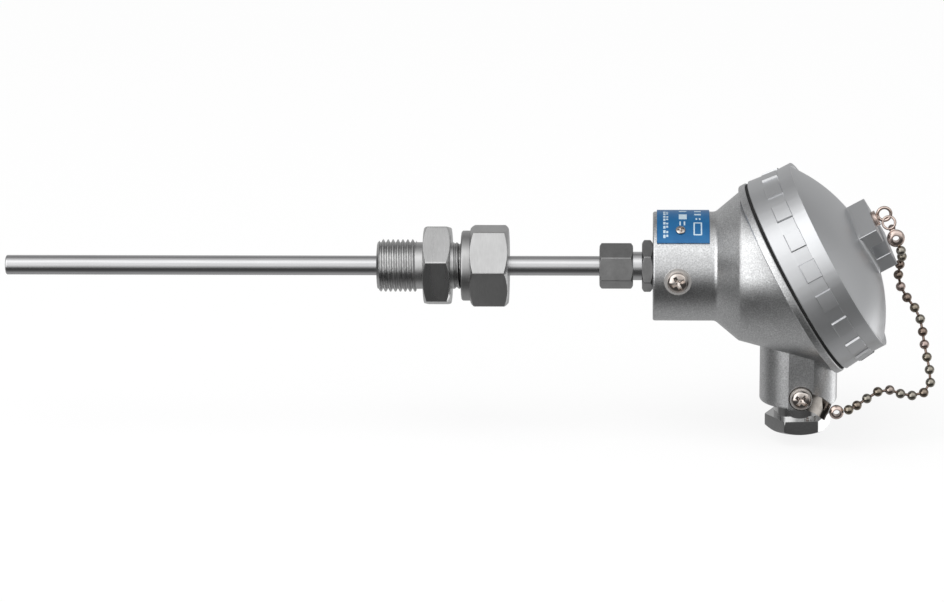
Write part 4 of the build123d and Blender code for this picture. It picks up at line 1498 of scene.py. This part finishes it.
@dataclass
class Fasteners:
    """The visible screws and rivets, and smooth copies of the small pressed parts."""

    side_screw: PanScrew = PanScrew((85.55, -(NECK_R + 0.3), 0), (0, -1, 0), 3.2, 2.2, 1.7, 10.8, 25)
    lower_screw: PanScrew = PanScrew((123.15, -13.5, -38.2), (0, -1, 0), 3.05, 2.0, 1.5, 4.9, 50)
    rivet_x: float = 86.35
    rivet_angle: float = 55.0
    rivet_sizes: tuple[float, ...] = (1.5, 0.8, 0.8, 3.5, 20)
    eye_shift: tuple[float, float] = (-0.99, -0.59)
    ring_from: tuple[float, float] = (2.22, -3.75)
    ring_to: tuple[float, float] = (3.21, -0.1)
    ring_height: float = 33.1
    ring_wire: float = 0.4
    copies: dict[str, tuple[str, str, Finish]] = field(
        default_factory=lambda: {
            "neck_washer": ("side_washer", "probe", WASHER_PLATE),
            "lug_washer": ("lower_washer", "probe", WASHER_PLATE),
            "chain_lug": ("bent_lug", "probe", LUG_STEEL),
            "chain_bottom_shell": ("lower_shell", "probe", SHELL_PLATE),
            "chain_top_shell": ("upper_shell", "gasket", SHELL_PLATE),
            "cap_eye": ("screw_eye", "cap", SHELL_PLATE),
        }
    )

    def link_ring(self) -> BMesh:
        """The ring that hangs in the screw eye and holds the chain's shell."""
        start = CAP.place(*self.ring_from, self.ring_height)
        end = CAP.place(*self.ring_to, self.ring_height)
        lathe = Lathe((start + end) / 2, (end - start).normalized(), CAP.axis)
        loop, r = (end - start).length / 2, self.ring_wire
        bm = bmesh.new()
        turn(bm, lathe, [(r * math.sin(a), loop + r * math.cos(a)) for a in even(12)], even(32))
        return bm

    def rivets(self) -> list[PanScrew]:
        """The label's two rivets."""
        made = []
        for angle in (self.rivet_angle, 180 - self.rivet_angle):
            out = (0, -math.cos(math.radians(angle)), math.sin(math.radians(angle)))
            foot = (self.rivet_x, out[1] * LABEL.radius, out[2] * LABEL.radius)
            made.append(PanScrew(foot, out, *self.rivet_sizes))
        return made

    def build(self) -> None:
        """Builds and seats the pieces."""
        for node, (name, body, finish) in self.copies.items():
            bm = merged_copy(node)
            if node == "cap_eye":
                shift = CAP.u * self.eye_shift[0] + CAP.w * self.eye_shift[1]
                bmesh.ops.translate(bm, verts=bm.verts, vec=shift)
            make(name, bm, finish, body, node, 30)
        make("small_ring", self.link_ring(), SHELL_PLATE, "gasket", "chain_ring")
        groups = {
            "neck_screw": ("side_screw", [self.side_screw]),
            "lug_screw": ("lower_screw", [self.lower_screw]),
            "label_rivets": ("foil_rivets", self.rivets()),
        }
        for node, (name, screws) in groups.items():
            bm = bmesh.new()
            for screw in screws:
                screw.add(bm)
            make(name, bm, NICKEL_PLATE, "probe", node, 35)


@dataclass
class SmallParts:
    """CAD nodes whose shape is right, which only get a finish."""

    finishes: dict[Finish, tuple[str, ...]] = field(
        default_factory=lambda: {
            TURNED_STEEL: ("front_ferrule", "back_ferrule", "small_ferrule"),
            BRIGHT_NUT: ("gland_washer",),
            BLACK_RUBBER: ("gland_seal",),
            PALE_CERAMIC: ("terminal_block", "mineral_insulation"),
            BRASS: ("positive_terminal", "negative_terminal"),
            NICKEL_PLATE: ("terminal_screws", "block_screws"),
            DULL_STEEL: ("positive_wire", "negative_wire", "hot_junction"),
        }
    )

    def build(self) -> None:
        """Paints each node."""
        for finish, nodes in self.finishes.items():
            for node in nodes:
                paint(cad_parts[node], finish)
                log.info("%s painted %s", node, finish.name)


@dataclass
class Studio:
    """Floor, lamp, world and camera.

    The world's angle runs from -180 to 180 degrees about X: 0 is in front, 90 overhead and -90
    below. boxes gives its brightness by that angle. Towards the ends of X, by side_share,
    side_card gives it by height. A card's edges are a gain and a shift along X, Y and Z.
    """

    floor_z: float = -55.5
    floor_grey: float = 0.85
    floor_glow: float = 0.86
    target: tuple[float, float, float] = (22.8, 0.0, -11.3)
    azimuth: float = 2.7
    elevation: float = 17.0
    distance: float = 1177.0
    view_angle: float = 14.0
    roll: float = -0.65
    lamp_place: tuple[float, float, float] = (-0.1, -0.35, 0.95)
    lamp_aim: tuple[float, float, float] = (0.04, 0, -0.01)
    lamp_size: tuple[float, float] = (0.9, 0.5)
    lamp_power: float = 5.0
    strength: float = 2.0
    left_box: float = 1.15
    left_edges: Pairs = ((-2.0, -0.2), (-3.0, -0.15), (8.0, 2.25))
    back_card: float = 0.9
    back_edges: Pairs = ((8.0, -4.0), (8.0, -2.4), (-12.0, -2.2))
    right_side: float = 0.3
    side_share: Pairs = ((0.84, 0.0), (0.92, 1.0))
    side_card: Pairs = (
        (0.0, 0.12), (0.35, 0.08), (0.47, 0.03), (0.58, 0.03), (0.7, 0.26), (1.0, 0.32),
    )
    boxes: Pairs = (
        (-180, 0.27), (-123, 0.21), (-97, 0.22), (-80, 0.17), (-64, 0.075), (-47, 0.038),
        (-33, 0.038), (-20, 0.05), (-9, 0.14), (3, 0.3), (13, 0.52), (26, 0.49), (38, 0.55),
        (50, 0.77), (64, 0.72), (76, 0.53), (89, 0.32), (104, 0.27), (114, 0.14), (126, 0.14),
        (138, 0.21), (150, 0.25), (180, 0.27),
    )

    def camera(self) -> None:
        """Sets the camera at the photograph's angle."""
        data = bpy.data.cameras.new("camera")
        data.sensor_fit = "HORIZONTAL"
        data.angle = math.radians(self.view_angle)
        data.clip_end = 20
        made = link_object("camera", data)
        a, e = math.radians(self.azimuth), math.radians(self.elevation)
        away = Vector((math.sin(a) * math.cos(e), -math.cos(a) * math.cos(e), math.sin(e)))
        made.location = (Vector(self.target) + away * self.distance) * MM
        roll = Matrix.Rotation(math.radians(self.roll), 3, "Z")
        made.rotation_euler = (away.to_track_quat("Z", "Y").to_matrix() @ roll).to_euler()
        bpy.context.scene.camera = made

    def lamp(self) -> None:
        """Adds the soft lamp over the object, which polished metal doesn't mirror."""
        data = bpy.data.lights.new("key", "AREA")
        data.shape = "RECTANGLE"
        data.size, data.size_y = self.lamp_size
        data.energy = self.lamp_power
        made = link_object("key", data)
        made.location = self.lamp_place
        made.visible_glossy = False
        aim = Vector(self.lamp_aim) - Vector(self.lamp_place)
        made.rotation_euler = aim.to_track_quat("-Z", "Y").to_euler()

    def floor(self) -> None:
        """Adds the pale floor, which polished metal doesn't mirror."""
        z = self.floor_z * MM
        mesh = bpy.data.meshes.new("floor")
        mesh.from_pydata([(-3, -3, z), (3, -3, z), (3, 5, z), (-3, 5, z)], [], [(0, 1, 2, 3)])
        made = link_object("floor", mesh)
        made.visible_glossy = False
        material = bpy.data.materials.new("floor")
        material.use_nodes = True
        tree = material.node_tree
        shader = tree.nodes["Principled BSDF"]
        plain = {"Base Color": (self.floor_grey,) * 3, "Roughness": 0.9, "Specular IOR Level": 0.0}
        for label, value in plain.items():
            connect(tree, shader.inputs[label], value)
        glow = add_node(tree, "ShaderNodeEmission", {"Strength": 1.0})
        seen = add_node(tree, "ShaderNodeLightPath").outputs["Is Camera Ray"]
        share = math_node(tree, "MULTIPLY", seen, self.floor_glow)
        mixed = {0: share, 1: shader.outputs[0], 2: glow.outputs[0]}
        mix = add_node(tree, "ShaderNodeMixShader", mixed)
        connect(tree, tree.nodes["Material Output"].inputs["Surface"], mix.outputs[0])
        mesh.materials.append(material)

    def world(self) -> None:
        """White to the camera; the rest see soft boxes and dark cards round the sheath's axis."""
        world = bpy.data.worlds.new("studio")
        world.use_nodes = True
        bpy.context.scene.world = world
        tree = world.node_tree
        x, y, z, angle = around_x(tree, add_node(tree, "ShaderNodeTexCoord").outputs["Generated"])

        def card(edges: Pairs) -> Socket:
            """One over the directions that a card fills, with soft edges, and zero elsewhere."""
            made = None
            for axis, (gain, shift) in zip((x, y, z), edges):
                rise = math_node(tree, "MULTIPLY_ADD", axis, gain, shift, clamp=True)
                made = math_node(tree, "MULTIPLY", made, rise) if made else rise
            return made

        boxes = greys(((degrees + 180) / 360, grey) for degrees, grey in self.boxes)
        colour = ramp(tree, boxes, math_node(tree, "MULTIPLY_ADD", angle, 1 / TAU, 0.5))
        share = ramp(tree, greys(self.side_share), math_node(tree, "ABSOLUTE", x))
        height = math_node(tree, "MULTIPLY_ADD", z, 0.5, 0.5)
        right = math_node(tree, "MULTIPLY", share, math_node(tree, "GREATER_THAN", x, 0.0))
        seen = add_node(tree, "ShaderNodeLightPath").outputs["Is Camera Ray"]
        layers = (
            (card(self.left_edges), (self.left_box,) * 3),
            (share, ramp(tree, greys(self.side_card), height)),
            (right, (self.right_side,) * 3),
            (card(self.back_edges), (self.back_card,) * 3),
            (seen, (1 / self.strength,) * 3),
        )
        for factor, other in layers:
            colour = mix_colours(tree, factor, colour, other)
        background = tree.nodes["Background"].inputs
        connect(tree, background["Color"], colour)
        connect(tree, background["Strength"], self.strength)

    def build(self) -> None:
        """Sets the whole studio."""
        self.camera()
        self.floor()
        self.world()
        self.lamp()
        bpy.context.scene.view_settings.view_transform = "Standard"


def main() -> None:
    """Builds every sub-assembly in order."""
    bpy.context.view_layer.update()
    parts = (Rod, ProcessFitting, Head, Cap, Gland, BallChain, Fasteners, SmallParts, Studio)
    for part in parts:
        part().build()
        log.info("%s done", part.__name__)


if __name__ == "__main__":
    logging.basicConfig(level=logging.INFO, format="%(name)s %(message)s")
    main()
